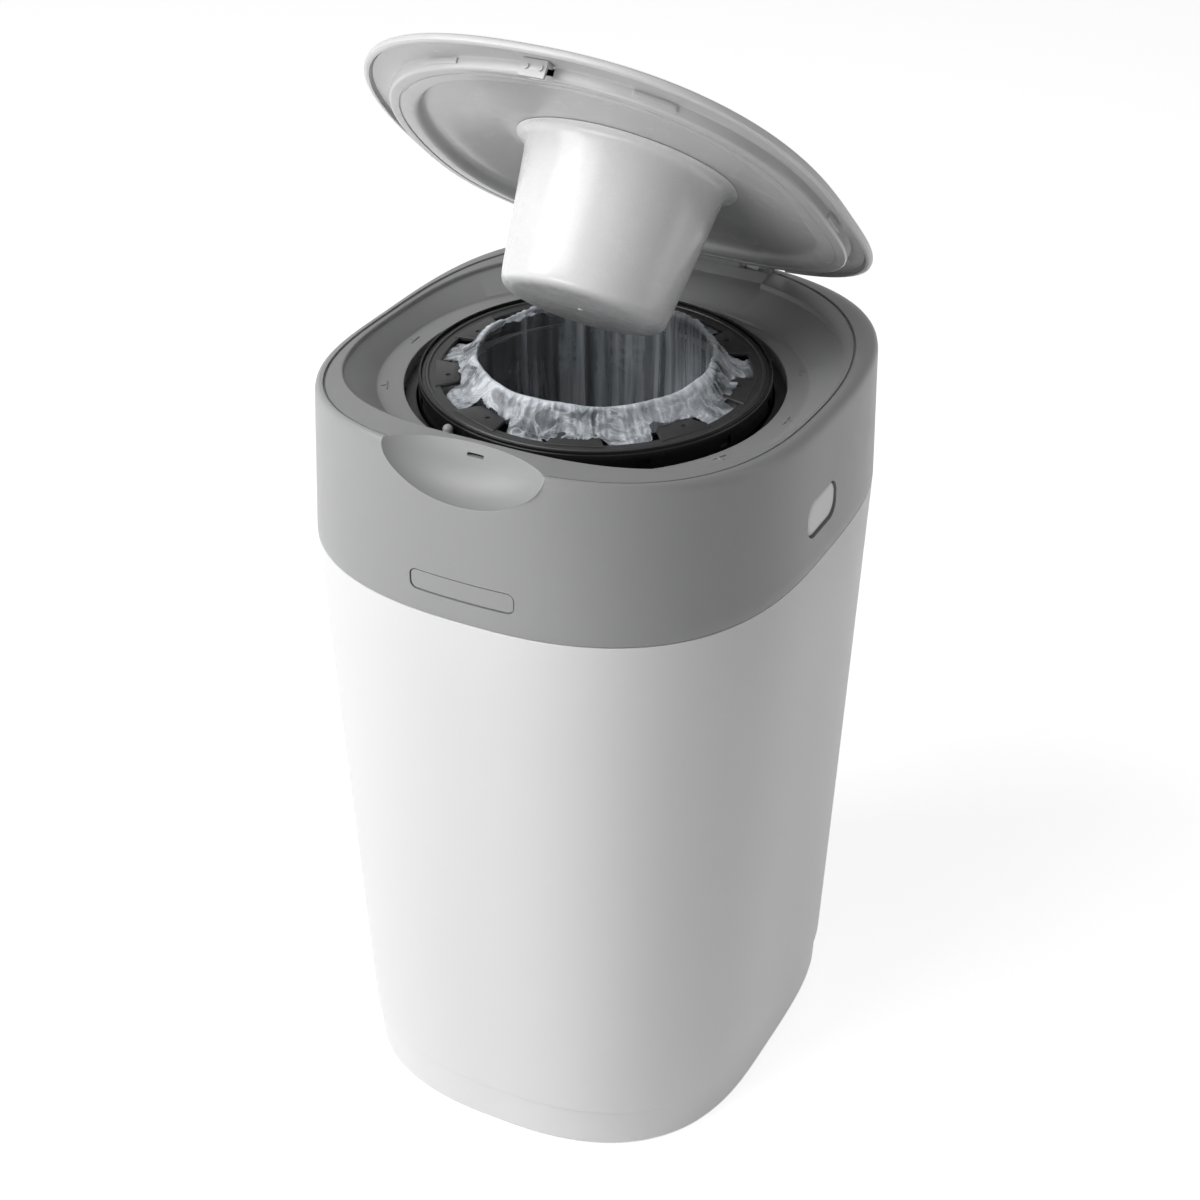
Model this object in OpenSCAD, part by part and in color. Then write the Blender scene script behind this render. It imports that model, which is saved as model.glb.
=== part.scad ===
// Twist-and-seal nappy bin: a tapered tub, a lift-off top unit that holds a film
// cassette, and a rear-hinged lid with a plunger cup that twists the film shut.
// Front is -Y, the hinge is at +Y, and the floor is z = 0.

/* [Tub] */
// Half width of the body where the tub meets the top unit
seam_half_width = 129.3; // [122:0.1:136]
// Half depth of the body at the same height
seam_half_depth = 140; // [132:0.5:147]
// Squareness of that outline, 2 is an ellipse
seam_power = 2.94; // [2.5:0.01:3.4]
// How much squarer the outlines are at the back than at the sides
back_squareness = 0.4; // [0:0.05:0.6]
// Height of the seam between tub and top unit
seam_height = 339; // [310:1:360]
// Half width of the tub's taper at the floor
base_half_width = 111.5; // [106:0.1:118]
// Half depth of the tub's taper at the floor
base_half_depth = 124.5; // [116:0.5:130]
// Wall of the tub
tub_wall = 2.6; // [2:0.1:3.5]
// Height of the band round the foot
plinth_height = 26; // [18:1:34]
// How far the foot band stands back from the wall
plinth_inset = 1.2; // [0.6:0.1:2]
// Depth of the recess under the tub
foot_recess = 2; // [1:0.5:3]

/* [Top unit] */
// How far the groove for the lid's edge stands in from the seam at the sides
rim_in_sides = 7.8; // [6.5:0.1:9]
// How far it stands in at the front and back
rim_in_ends = 5.7; // [5:0.1:8]
// Squareness of the groove's outline
rim_power = 2.63; // [2.4:0.01:3]
// How far the groove is set forward of the middle
rim_forward = 1.35; // [0:0.05:3]
// Mean height of the land beside the groove, above the seam
rim_rise = 80.9; // [75:0.1:88]
// Rise of the land at front and back, and its fall at the sides
rim_saddle = 3.75; // [2:0.05:5]
// Extra rise at the front and fall at the back
rim_tilt = 3.8; // [1:0.1:4.5]
// Wall of the top unit
shell_wall = 2.4; // [2:0.1:3]
// Width of the land between groove and opening at the sides
land_sides = 3.7; // [3.2:0.1:4.5]
// Width of the land at the front and back
land_ends = 17.5; // [16:0.1:19]
// How far the shelf round the cassette lies below the land
shelf_drop = 14.4; // [12:0.1:17]
// Gap between the cassette and the hole in the shelf
well_gap = 7.2; // [6.6:0.1:7.8]
// How far the cassette sits behind the middle of the body
throat_back = 0; // [-1:0.1:2]

/* [Finger scoop] */
// Half width of the scoop in the front edge
scoop_half_width = 47; // [38:0.5:50]
// How far back the scoop cuts into the land
scoop_depth = 17.5; // [14:0.5:20]
// How far down the scoop cuts into the front wall
scoop_drop = 24; // [18:0.5:28]

/* [Nameplate] */
// Width of the blank recess on the front
plate_width = 57; // [40:1:70]
// Height of the blank recess
plate_height = 11.5; // [8:0.5:16]
// Height of its middle above the seam
plate_rise = 17.5; // [13:0.5:50]

/* [Release tabs] */
// Width of each side window
window_width = 35; // [30:1:42]
// Height of each side window
window_height = 21; // [16:1:26]
// Height of the window's middle above the seam
window_rise = 27.5; // [23:0.5:36]
// How far the windows lie in front of the middle
window_forward = 6.5; // [0:0.5:10]
// Thickness of the springy tab
tab_thickness = 2.2; // [1.8:0.1:2.8]

/* [Cassette] */
// Outer radius of the refill cassette
cassette_radius = 89.3; // [87:0.1:90]
// Overall height of the cassette
cassette_height = 92; // [70:1:96]
// How far the inner wall of the core stands in from the outside
core_in = 26.3; // [24:0.1:28]
// How far the cassette stands above the shelf
cassette_stand = 6.5; // [5:0.5:8]
// Number of tabs on the cover
cover_tabs = 9; // [6:1:12]
// How far the tabs of the cover stop short of the core's bore
tab_stop = 5; // [4:0.5:9]

/* [Film] */
// How far the hanging film stands in from the core
film_in = 2.7; // [2.4:0.1:5]
// How far the film's knot hangs below the cover
film_drop = 160.2; // [120:0.1:200]
// Number of folds round the hanging film
film_folds = 12; // [8:1:16]
// Depth of the film's folds
fold_depth = 1.1; // [0.4:0.1:1.6]

/* [Cutter] */
// Radius of the peg that is pushed round
peg_radius = 2.5; // [2:0.1:2.6]
// Angle of the peg, measured to the left of the front
peg_angle = 22.7; // [0:0.1:90]

/* [Lid] */
// How far the lid stands open at rest
lid_open = 40.3; // [0:0.1:75]
// How far the hinge axis stands in from the groove at the back
hinge_in = 2.9; // [2.2:0.1:4]
// Height of the hinge axis above the land's mean height
hinge_rise = 1; // [0.6:0.1:2.4]
// Radius of the hinge pins
hinge_pin_radius = 2; // [1.5:0.1:2.5]
// Height of the closed lid's top above the land's mean height
lid_crown = 21.5; // [20:0.1:26]
// Wall of the lid's outer skin
skin_wall = 2.2; // [1.8:0.1:2.8]
// Wall of the lid's inner liner
liner_wall = 2.2; // [1.8:0.1:2.6]
// How far the liner stands in from the groove at the sides
liner_in_sides = 8.6; // [8:0.1:10]
// How far it stands in at the front and back
liner_in_ends = 19.4; // [18.6:0.1:22]
// How far the liner's ledge dips into the opening below the land
ledge_dip = 4; // [2:0.1:5]
// Width of the ledge round the liner's pan
pan_ledge = 14.5; // [12:0.5:18]
// Height of the pan's flat face above the land's mean height
pan_rise = 5.6; // [4.6:0.1:7.6]

/* [Plunger] */
// Gap between the plunger cup's root and the core of the cassette
cup_clearance = 11.4; // [11:0.1:13]
// How much smaller the cup's radius is near its bottom
cup_taper = 8.2; // [6:0.1:11]
// Depth of the cup below the pan
cup_depth = 76.5; // [66:0.5:80]
// Width of the turning flange round the cup
flange_width = 6.9; // [5.5:0.1:8]
// How far the hand dial on top stands in from the flange
dial_in = 2.1; // [1.5:0.1:3]
// Depth of the hand recess in the dial
dial_depth = 28; // [20:1:32]
// Width of the grip bar at its waist
bar_width = 13; // [10:0.5:18]
// Number of clicks in a turn
click_count = 24; // [12:1:36]

/* [Fits] */
// Gap between pieces that only lie beside each other
seat_gap = 0.3; // [0.2:0.05:0.5]
// Radial gap of pieces that turn
running_gap = 0.1; // [0.05:0.01:0.2]

/* [Hidden] */

sides = 64;            // points round each moulded outline
film_sides = 48;       // points round the film
film_thickness = 0.8;  // bunched film, far thicker than one layer
$fn = 96;
base_power = 3.35;
neck_rise = 17;        // the tub's neck above the seam
neck_gap = 0.4;        // between the neck and the skirt of the top unit
neck_wall = 2.2;
rim_half_width = seam_half_width - rim_in_sides;
rim_half_depth = seam_half_depth - rim_in_ends;
rim_height = seam_height + rim_rise;
mouth_half_width = rim_half_width - land_sides;
mouth_half_depth = rim_half_depth - land_ends;
shelf_height = rim_height - shelf_drop;
shelf_hole_radius = cassette_radius + well_gap;
core_radius = cassette_radius - core_in;
tab_reach_radius = core_radius + tab_stop;
film_radius = core_radius - film_in;
plate_level = seam_height + plate_rise;
window_level = seam_height + window_rise;
shoulder_out = 5.8;    // the wall below the rounded shoulder stands this far outside the groove
shoulder_drop = 8;     // depth of that rounding
shoulder_power = 2.88;
shelf_power = 2.25;
shelf_forward = 2.5;
shelf_half_width = shelf_hole_radius + 11.5;
shelf_half_depth = shelf_hole_radius + throat_back + shelf_forward + 1.6;
cassette_top = shelf_height + cassette_stand;
cassette_floor = cassette_top - cassette_height;
cassette_wall = 2.2;
cover_level = cassette_top - 3.3;
cover_thickness = 1.7;
film_knot_height = cover_level - film_drop;
cradle_radius = shelf_hole_radius + 0.3;
cradle_wall = 2.2;
cradle_floor = 2.4;
cutter_level = shelf_height - 11;
cutter_height = 4.5;
cutter_outer = cradle_radius - 0.5;
cutter_inner = cassette_radius + 1.1;
peg_orbit = (cutter_outer + cutter_inner) / 2;
hinge_back = rim_half_depth - rim_forward - hinge_in;
hinge_height = rim_height + hinge_rise;
lid_top = rim_height + lid_crown;
liner_half_width = rim_half_width - liner_in_sides;
liner_half_depth = rim_half_depth - liner_in_ends;
pan_height = rim_height + pan_rise;
cup_bottom = pan_height - cup_depth;
cup_root_radius = core_radius - cup_clearance;
cup_tip_radius = cup_root_radius - cup_taper;
flange_radius = cup_root_radius + flange_width;
dial_radius = flange_radius - dial_in;
pan_hole_radius = flange_radius - 3.9;
hub_radius = pan_hole_radius - 0.6;
hub_top = pan_height + liner_wall + 3.3;
ear_radius = 4.8;
ear_width = 3.8;
arm_inner = 26;        // the lid's hinge arms lie between these distances from the middle
arm_outer = 33;
arm_radius = 4.2;
arm_gap = 0.4;
relief_radius = 6;     // clear space that the lid leaves round its axis
relief_half_width = 48;
catch_half_width = 6.5;
catch_front = 12 - rim_half_depth - rim_forward;
liner_power = 2.5;
flange_low = 2.2;      // height above the land of the liner's outer flange
scoop_wall = 2.2;
teeth_radius = pan_hole_radius + 5.4;
bow_radius = 110;      // curve of the grip bar's two sides
bar_flare = 28;        // width of the grip bar at its ends

// Outlines are listed as [half width, half depth, power, shift in y, height, saddle share,
// extra power at the back].
function seam_ring(inset, z) =
    [seam_half_width - inset, seam_half_depth - inset, seam_power, 0, z, 0, back_squareness];
function base_ring(inset, z) =
    [base_half_width - inset, base_half_depth - inset, base_power, 0, z, 0, 1.8 * back_squareness];
function shoulder_ring(inset, rise) =
    [rim_half_width + shoulder_out - inset, seam_half_depth - inset, shoulder_power, 0,
     rim_height + rise, 1, 1.3 * back_squareness];
function rim_ring(inset, rise) =
    [rim_half_width - inset, rim_half_depth - inset, rim_power, -rim_forward, rim_height + rise, 1, 0];
function mouth_ring(inset, rise) =
    [mouth_half_width - inset, mouth_half_depth - inset, 2.6, 0, rim_height + rise, 1, 0];
function shelf_ring(inset, z) =
    [shelf_half_width - inset, shelf_half_depth - inset, shelf_power, -shelf_forward, z, 0, 0];
function liner_ring(inset, rise) =
    [liner_half_width - inset, liner_half_depth - inset, liner_power, -1, rim_height + rise, 1, 0];
function round_ring(radius, z) = [radius, radius, 2, throat_back, z, 0, 0];
function between(low, high, share) = low * (1 - share) + high * share;
function at_height(ring, z) = [ring[0], ring[1], ring[2], ring[3], z, 0, ring[6]];
function taper_ring(inset, z) =
    at_height(between(base_ring(inset, z), seam_ring(inset, z), z / seam_height), z);
function skirt_ring(inset, share) =
    between(seam_ring(inset, seam_height), shoulder_ring(inset, -shoulder_drop), share);
function rounding_ring(out, drop) =
    between(rim_ring(0, -drop * shoulder_drop), shoulder_ring(0, -drop * shoulder_drop), out);
function neck_ring(inset, z) =
    at_height(skirt_ring(shell_wall + neck_gap + inset,
                         (z - seam_height) / (rim_height - shoulder_drop - seam_height)), z);
function land_rise(angle) = -rim_tilt * sin(angle) - rim_saddle * cos(2 * angle);

// One point of a squared oval, given by its half sizes, power and angle.
function oval_point(width, depth, power, angle) =
    let (reach = pow(pow(abs(cos(angle)) / width, power) + pow(abs(sin(angle)) / depth, power), -1 / power))
    [reach * cos(angle), reach * sin(angle)];
function ring_points(ring, count) =
    [for (i = [0 : count - 1])
        let (angle = 360 * i / count,
             p = oval_point(ring[0], ring[1], ring[2] + ring[6] * sin(angle), angle))
        [p[0], p[1] + ring[3], ring[4] + ring[5] * land_rise(angle)]];
function strip_faces(low, high, count) =
    [for (i = [0 : count - 1]) let (j = (i + 1) % count)
        each [[low + i, high + i, low + j], [low + j, high + i, high + j]]];

// A wall that follows its rings round and closes on itself, with a hole through it.
module moulded_wall(rings, count = sides) {
    total = len(rings);
    points = [for (ring = rings) each ring_points(ring, count)];
    faces = [for (k = [0 : total - 1]) each strip_faces(k * count, ((k + 1) % total) * count, count)];
    polyhedron(points = points, faces = faces, convexity = 8);
}

// A closed form that starts and ends with a flat face in its first and last ring.
module moulded_solid(rings, count = sides) {
    total = len(rings);
    points = [for (ring = rings) each ring_points(ring, count)];
    last = (total - 1) * count;
    faces = [
        [for (i = [0 : count - 1]) i],
        [for (i = [0 : count - 1]) last + count - 1 - i],
        for (k = [0 : total - 2]) each strip_faces(k * count, (k + 1) * count, count)];
    polyhedron(points = points, faces = faces, convexity = 8);
}

// Puts a piece that is drawn with the lid closed where the open lid carries it.
module on_open_lid() {
    translate([0, hinge_back, hinge_height]) rotate([-lid_open, 0, 0])
        translate([0, -hinge_back, -hinge_height]) children();
}

module rounded_bar(width, height, radius) {
    offset(r = radius, $fn = 32) square([width - 2 * radius, height - 2 * radius], center = true);
}

// Tub: one moulding with a foot band, a shoulder that carries the top unit and a neck inside it.
module tub() {
    shoulder = seam_height - seat_gap;
    neck_top = seam_height + neck_rise;
    color("whitesmoke") difference() {
        moulded_solid([
            taper_ring(14, foot_recess), taper_ring(12, 0), taper_ring(plinth_inset + 4, 0),
            taper_ring(plinth_inset + 1.3, 1.2), taper_ring(plinth_inset, 4),
            taper_ring(plinth_inset, plinth_height), taper_ring(0, plinth_height + 1.4),
            taper_ring(0, shoulder - 0.6), at_height(seam_ring(0.6, shoulder), shoulder),
            neck_ring(0, shoulder), neck_ring(0, neck_top - 1), neck_ring(0.8, neck_top),
            neck_ring(neck_wall - 0.6, neck_top), neck_ring(neck_wall, neck_top - 1),
            neck_ring(neck_wall + 0.3, shoulder - 4),
            taper_ring(tub_wall, shoulder - 12), taper_ring(tub_wall, foot_recess + 8),
            taper_ring(tub_wall + 3, foot_recess + 3.4), taper_ring(tub_wall + 8, foot_recess + 2.6)]);
        for (side = [-1, 1])
            translate([side * seam_half_width, -window_forward, seam_height + 2 + neck_rise / 2])
                cube([24, window_width + 4, neck_rise], center = true);
    }
}

// Release tab: a springy tongue beside the tub's neck, with the pad that shows in the window.
module release_tab(side) {
    outside = seam_half_width - shell_wall - 1.2 - seat_gap;
    root = seam_height + 2 + seat_gap;
    inside = outside - 1.5 - tab_thickness;
    top = window_level + window_height / 2 + 3;
    color("white") scale([side, 1, 1]) union() {
        translate([inside, -window_forward - window_width / 2 - 1, root])
            cube([tab_thickness, window_width + 2, top - root]);
        translate([inside + tab_thickness / 2, -window_forward, window_level]) rotate([90, 0, 90])
            linear_extrude(height = 1.5 + tab_thickness / 2)
                rounded_bar(window_width - 3, window_height - 3, 7);
    }
}

module release_tab_left() {
    release_tab(-1);
}

module release_tab_right() {
    release_tab(1);
}

module scoop_bowl(extra) {
    translate([0, -rim_half_depth - rim_forward - 6, rim_height + rim_saddle + rim_tilt + 4])
        scale([scoop_half_width + extra, scoop_depth + 4 + extra, scoop_drop + 4.5 + extra])
            sphere(r = 1, $fn = 48);
}

outer_rings = [
    seam_ring(0.5, seam_height), seam_ring(0, seam_height + 0.6),
    skirt_ring(0, 0.5), skirt_ring(0, 1),
    rounding_ring(0.94, 0.62), rounding_ring(0.76, 0.31), rounding_ring(0.42, 0.09), rim_ring(0, 0)];

// Housing: the grey top unit, one moulding from the skirt over the shoulder to the shelf.
module housing_shell() {
    moulded_wall(concat(outer_rings, [
        rim_ring(0.1, -0.8), rim_ring(0.8, -0.8), rim_ring(0.9, 0),
        mouth_ring(-1.6, -0.3), mouth_ring(-0.5, -0.9), mouth_ring(0, -2.2),
        shelf_ring(0, shelf_height + 1.2), shelf_ring(1.6, shelf_height),
        round_ring(shelf_hole_radius + 0.6, shelf_height), round_ring(shelf_hole_radius, shelf_height - 0.6),
        round_ring(shelf_hole_radius, shelf_height - shell_wall),
        shelf_ring(1, shelf_height - shell_wall), shelf_ring(-shell_wall, shelf_height),
        mouth_ring(-shell_wall, -5.2), mouth_ring(-shell_wall - 0.6, -3.4), rim_ring(0.9, -3.1),
        skirt_ring(shell_wall, 1), skirt_ring(shell_wall, 0.5),
        seam_ring(shell_wall, seam_height + 0.6), seam_ring(shell_wall - 0.3, seam_height)]));
}

module hinge_ears(reach) {
    for (side = [-1, 1], from = [arm_inner - arm_gap - ear_width, arm_outer + arm_gap])
        translate([side > 0 ? from : -from - ear_width, hinge_back, hinge_height])
            rotate([0, 90, 0]) cylinder(r = reach, h = ear_width);
}

module housing() {
    block_front = hinge_back - 8.2;
    block_low = hinge_height - 5.8;
    block_half = arm_outer + arm_gap + ear_width + 2.5;
    color("darkgray") difference() {
        union() {
            difference() {
                housing_shell();
                scoop_bowl(0);
                translate([-block_half, block_front - 22, block_low])
                    cube([2 * block_half, 22.01, 40]);
            }
            difference() {
                intersection() {
                    moulded_solid(outer_rings);
                    scoop_bowl(scoop_wall);
                }
                scoop_bowl(0);
            }
            translate([-block_half, block_front, block_low])
                cube([2 * block_half, hinge_back - block_front + 3, hinge_height - block_low + 0.6]);
            hinge_ears(ear_radius);
        }
        for (side = [-1, 1]) {
            translate([side * (arm_inner + arm_outer) / 2, hinge_back + 4, hinge_height + 6])
                cube([arm_outer - arm_inner + 2 * arm_gap, 22, 23], center = true);
            translate([side * seam_half_width, -window_forward, window_level]) rotate([90, 0, 90])
                linear_extrude(height = 12, center = true)
                    rounded_bar(window_width, window_height, 8);
        }
        translate([0, hinge_back, hinge_height]) rotate([0, 90, 0])
            cylinder(r = hinge_pin_radius + running_gap / 2, h = 4 * arm_outer, center = true);
        translate([0, -seam_half_depth, plate_level]) rotate([90, 0, 0])
            linear_extrude(height = 2.4, center = true)
                rounded_bar(plate_width, plate_height, 4);
        translate([0, -rim_half_depth + scoop_depth - 3, rim_height + 1])
            cube([9, 12, 2], center = true);
    }
}

// Cradle: the round well under the shelf that the cassette stands in.
module cassette_cradle() {
    low = cassette_floor - cradle_floor;
    high = shelf_height - shell_wall;
    out = cradle_radius + cradle_wall;
    ledge = cutter_level - seat_gap;
    color("gainsboro") translate([0, throat_back, 0]) rotate_extrude() polygon([
        [core_radius + 1.2, low], [out - 1.5, low], [out, low + 1.5], [out, high - 3],
        [out + 1.5, high - 3], [out + 1.5, high], [cradle_radius, high],
        [cradle_radius, ledge], [cradle_radius - 3, ledge], [cradle_radius - 3, ledge - 1.4],
        [cradle_radius, ledge - 3], [cradle_radius, low + cradle_floor],
        [cassette_radius + 2, low + cradle_floor], [cassette_radius + 1.8, low + cradle_floor + 4],
        [cassette_radius + seat_gap, low + cradle_floor + 4],
        [cassette_radius + seat_gap, low + cradle_floor],
        [core_radius + 1.2, low + cradle_floor]]);
}

// Cassette body: outer wall, floor and the core that the film is drawn over.
module cassette_body() {
    out = cassette_radius;
    inner = out - cassette_wall;
    core_out = core_radius + cassette_wall;
    core_top = cover_level - 3.4;
    color("black") translate([0, throat_back, 0]) difference() {
        rotate_extrude() polygon([
            [core_radius, cassette_floor], [out, cassette_floor], [out, cassette_top - 0.6],
            [out - 0.6, cassette_top], [out - 1.3, cassette_top], [out - 1.6, cassette_top - 0.5],
            [out - 1.6, cover_level], [inner - 0.6, cover_level], [inner - 0.6, cover_level - 2],
            [inner, cover_level - 4], [inner, cassette_floor + cassette_wall],
            [core_out, cassette_floor + cassette_wall], [core_out, core_top - 0.8],
            [core_out - 1.1, core_top], [core_radius, core_top - 0.8]]);
        for (k = [0 : 11]) rotate([0, 0, 30 * k + 12])
            translate([out, 0, cassette_top - 8]) cube([2.4, 7, 5], center = true);
    }
}

// Cover: the castellated ring that the film comes out from under.
module cassette_cover() {
    rim = cassette_radius - 1.6 - running_gap;
    inner = rim - 8.5;
    color("dimgray") translate([0, throat_back, cover_level]) {
        difference() {
            union() {
                cylinder(r = rim, h = cover_thickness);
                cylinder(r = rim - 2.2, h = cover_thickness + 0.8);
            }
            translate([0, 0, -1]) cylinder(r = inner, h = 6);
            translate([0, 0, cover_thickness]) cylinder(r = rim - 3.4, h = 3);
        }
        for (k = [0 : cover_tabs - 1]) rotate([0, 0, 360 * k / cover_tabs + 10])
            linear_extrude(height = cover_thickness + 0.6) polygon([
                [inner + 1.5, -14], [tab_reach_radius + 2, -10.5], [tab_reach_radius, -8.5],
                [tab_reach_radius, 8.5], [tab_reach_radius + 2, 10.5], [inner + 1.5, 14]]);
    }
}

// Film pack: the folded film stored in the cassette, ridged by its pleats.
module film_pack() {
    pleats = 9;
    low = cassette_floor + cassette_wall;
    high = cover_level - 12;
    step = (high - low) / pleats;
    inside = core_radius + cassette_wall + 1;
    outside = cassette_radius - cassette_wall - 1;
    color("aliceblue") translate([0, throat_back, 0]) rotate_extrude() polygon(concat(
        [[inside, low]], [for (k = [0 : pleats - 1]) each
            [[outside, low + step * (k + 0.25)], [outside - 2, low + step * (k + 0.9)]]],
        [[inside, high]]));
}

// Steps of the film over the core, down the throat and in to the knot, each as its
// radius, its height, its share of the folds and how far its thickness lies sideways.
film_path = [
    [cassette_radius - 8.3, cover_level - 1.1, 0, 0], [tab_reach_radius + 6, cover_level - 1, 0.1, 0],
    [tab_reach_radius - 1, cover_level - 0.9, 0.2, 0],
    [film_radius + 1.8, cover_level - 1.2, 0.3, 0.4], [film_radius - 0.2, cover_level - 3, 0.4, 1],
    [film_radius - 1.2, cover_level - 0.05 * film_drop, 0.8, 1],
    [film_radius - 1.8, cover_level - 0.22 * film_drop, 1, 1],
    [film_radius - 4.8, cover_level - 0.375 * film_drop, 1.2, 1],
    [0.69 * film_radius, cover_level - 0.625 * film_drop, 1.6, 1],
    [13.2, film_knot_height + 18, 1.5, 1], [4.7, film_knot_height + 9, 0.8, 1]];
function film_face(step, angle, thickness) =
    let (fold = sin(film_folds * angle) + 0.4 * sin(3 * angle + 20),
         reach = step[0] + thickness * step[3] - fold_depth * step[2] * fold)
    [reach * cos(angle), reach * sin(angle) + throat_back, step[1] - thickness * (1 - step[3])];

// Film sleeve: the tube of film that hangs in the throat, tied off below.
module film_sleeve() {
    steps = len(film_path);
    turn = 360 / film_sides;
    upper = [for (k = [0 : steps - 1], i = [0 : film_sides - 1])
        film_face(film_path[k], turn * i, 0)];
    lower = [for (k = [steps - 1 : -1 : 0], i = [0 : film_sides - 1])
        film_face(film_path[k], turn * i, film_thickness)];
    rows = 2 * steps;
    color("lavender") {
        polyhedron(points = concat(upper, lower), convexity = 10, faces = [for (k = [0 : rows - 1])
            each strip_faces(k * film_sides, ((k + 1) % rows) * film_sides, film_sides)]);
        translate([0, throat_back, film_knot_height]) {
            cylinder(r = 7, h = 10, $fn = 32);
            translate([0, 0, -9]) cylinder(r1 = 3, r2 = 7, h = 9, $fn = 32);
        }
    }
}

// Cutter ring: the carrier that slides round the cassette.
module cutter_ring() {
    color("darkgray") translate([0, throat_back, cutter_level]) difference() {
        cylinder(r = cutter_outer, h = cutter_height);
        translate([0, 0, -1]) cylinder(r = cutter_inner, h = cutter_height + 2);
        rotate([0, 0, -90 - peg_angle]) translate([peg_orbit, 0, 0])
            cylinder(r = 1.5 + running_gap, h = 4 * cutter_height, center = true);
    }
}

// Cutter knob: the rounded peg that a finger pushes round.
module cutter_knob() {
    top = cassette_top - 0.5;
    low = cutter_level + cutter_height;
    color("lightgray") translate([0, throat_back, 0]) rotate([0, 0, -90 - peg_angle])
        translate([peg_orbit, 0, 0]) rotate_extrude($fn = 48) difference() {
            union() {
                translate([0, low]) square([peg_radius, top - low - peg_radius]);
                translate([0, top - peg_radius]) circle(r = peg_radius);
                translate([0, cutter_level + 0.5]) square([1.5, low - cutter_level]);
            }
            translate([-2 * peg_radius, 0]) square([2 * peg_radius, cassette_top + 1]);
        }
}

// Cutter blade: a small steel point under the ring, beside the knob.
module cutter_blade() {
    color("silver") translate([0, throat_back, cutter_level]) rotate([0, 0, -86 - peg_angle])
        translate([cutter_inner + 1.2, 0, 0]) rotate([90, 0, 90]) linear_extrude(height = 0.5)
            polygon([[0, 0], [9, 0], [9, -2], [2, -9], [0, -9]]);
}

// Hinge pins: plain steel pins through the ears and the lid's arms.
module hinge_pin(side) {
    start = arm_inner - arm_gap - ear_width;
    length = arm_outer - arm_inner + 2 * (arm_gap + ear_width);
    color("silver") translate([side > 0 ? start : -start - length, hinge_back, hinge_height])
        rotate([0, 90, 0]) cylinder(r = hinge_pin_radius, h = length);
}

module hinge_pin_left() {
    hinge_pin(-1);
}

module hinge_pin_right() {
    hinge_pin(1);
}

// Clear space round the hinge axis.
module hinge_relief() {
    translate([0, hinge_back, hinge_height]) rotate([0, 90, 0])
        cylinder(r = relief_radius, h = 2 * relief_half_width, center = true);
}

// A ring of the lid's crown: share runs from its edge to the dial, and lift is its height's share.
function crown_ring(share, lift, inset, drop) =
    let (edge = rim_ring(0.2 + inset, 5), top = round_ring(dial_radius + 0.6, lid_top - drop),
         plan = between(edge, top, share))
    [plan[0], plan[1], plan[2], plan[3], (1 - lift) * (edge[4] - drop / 2) + lift * top[4], 1 - lift, 0];

// Skin: the lid's thin outer shell, with the opening for the dial.
module lid_skin() {
    t = skin_wall;
    color("gainsboro") on_open_lid() difference() {
        moulded_wall([
            rim_ring(0.9, 0.5), rim_ring(-0.4, 1.2), rim_ring(-0.7, 2.8), crown_ring(0, 0, 0, 0),
            crown_ring(0.06, 0.2, 0, 0), crown_ring(0.16, 0.43, 0, 0), crown_ring(0.32, 0.68, 0, 0),
            crown_ring(0.55, 0.88, 0, 0), crown_ring(0.97, 1, 0, 0), crown_ring(1, 1, 0, 0.4),
            crown_ring(1, 1, 0, t), crown_ring(0.55, 0.88, t, t), crown_ring(0.32, 0.68, t, t),
            crown_ring(0.16, 0.43, t, t), crown_ring(0.06, 0.19, t, t), rim_ring(t + 0.4, 3.7),
            rim_ring(t - 0.5, 2.2), rim_ring(t - 0.1, 0.5)]);
        hinge_relief();
    }
}

function pan_ring(inset, share, lift) =
    let (ledge = liner_ring(pan_ledge + inset, -ledge_dip))
    [ledge[0], ledge[1], ledge[2], ledge[3],
     (1 - share) * pan_height + share * ledge[4] + lift, share, 0];

function liner_point(angle) = oval_point(liner_half_width, liner_half_depth, liner_power, angle);

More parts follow.
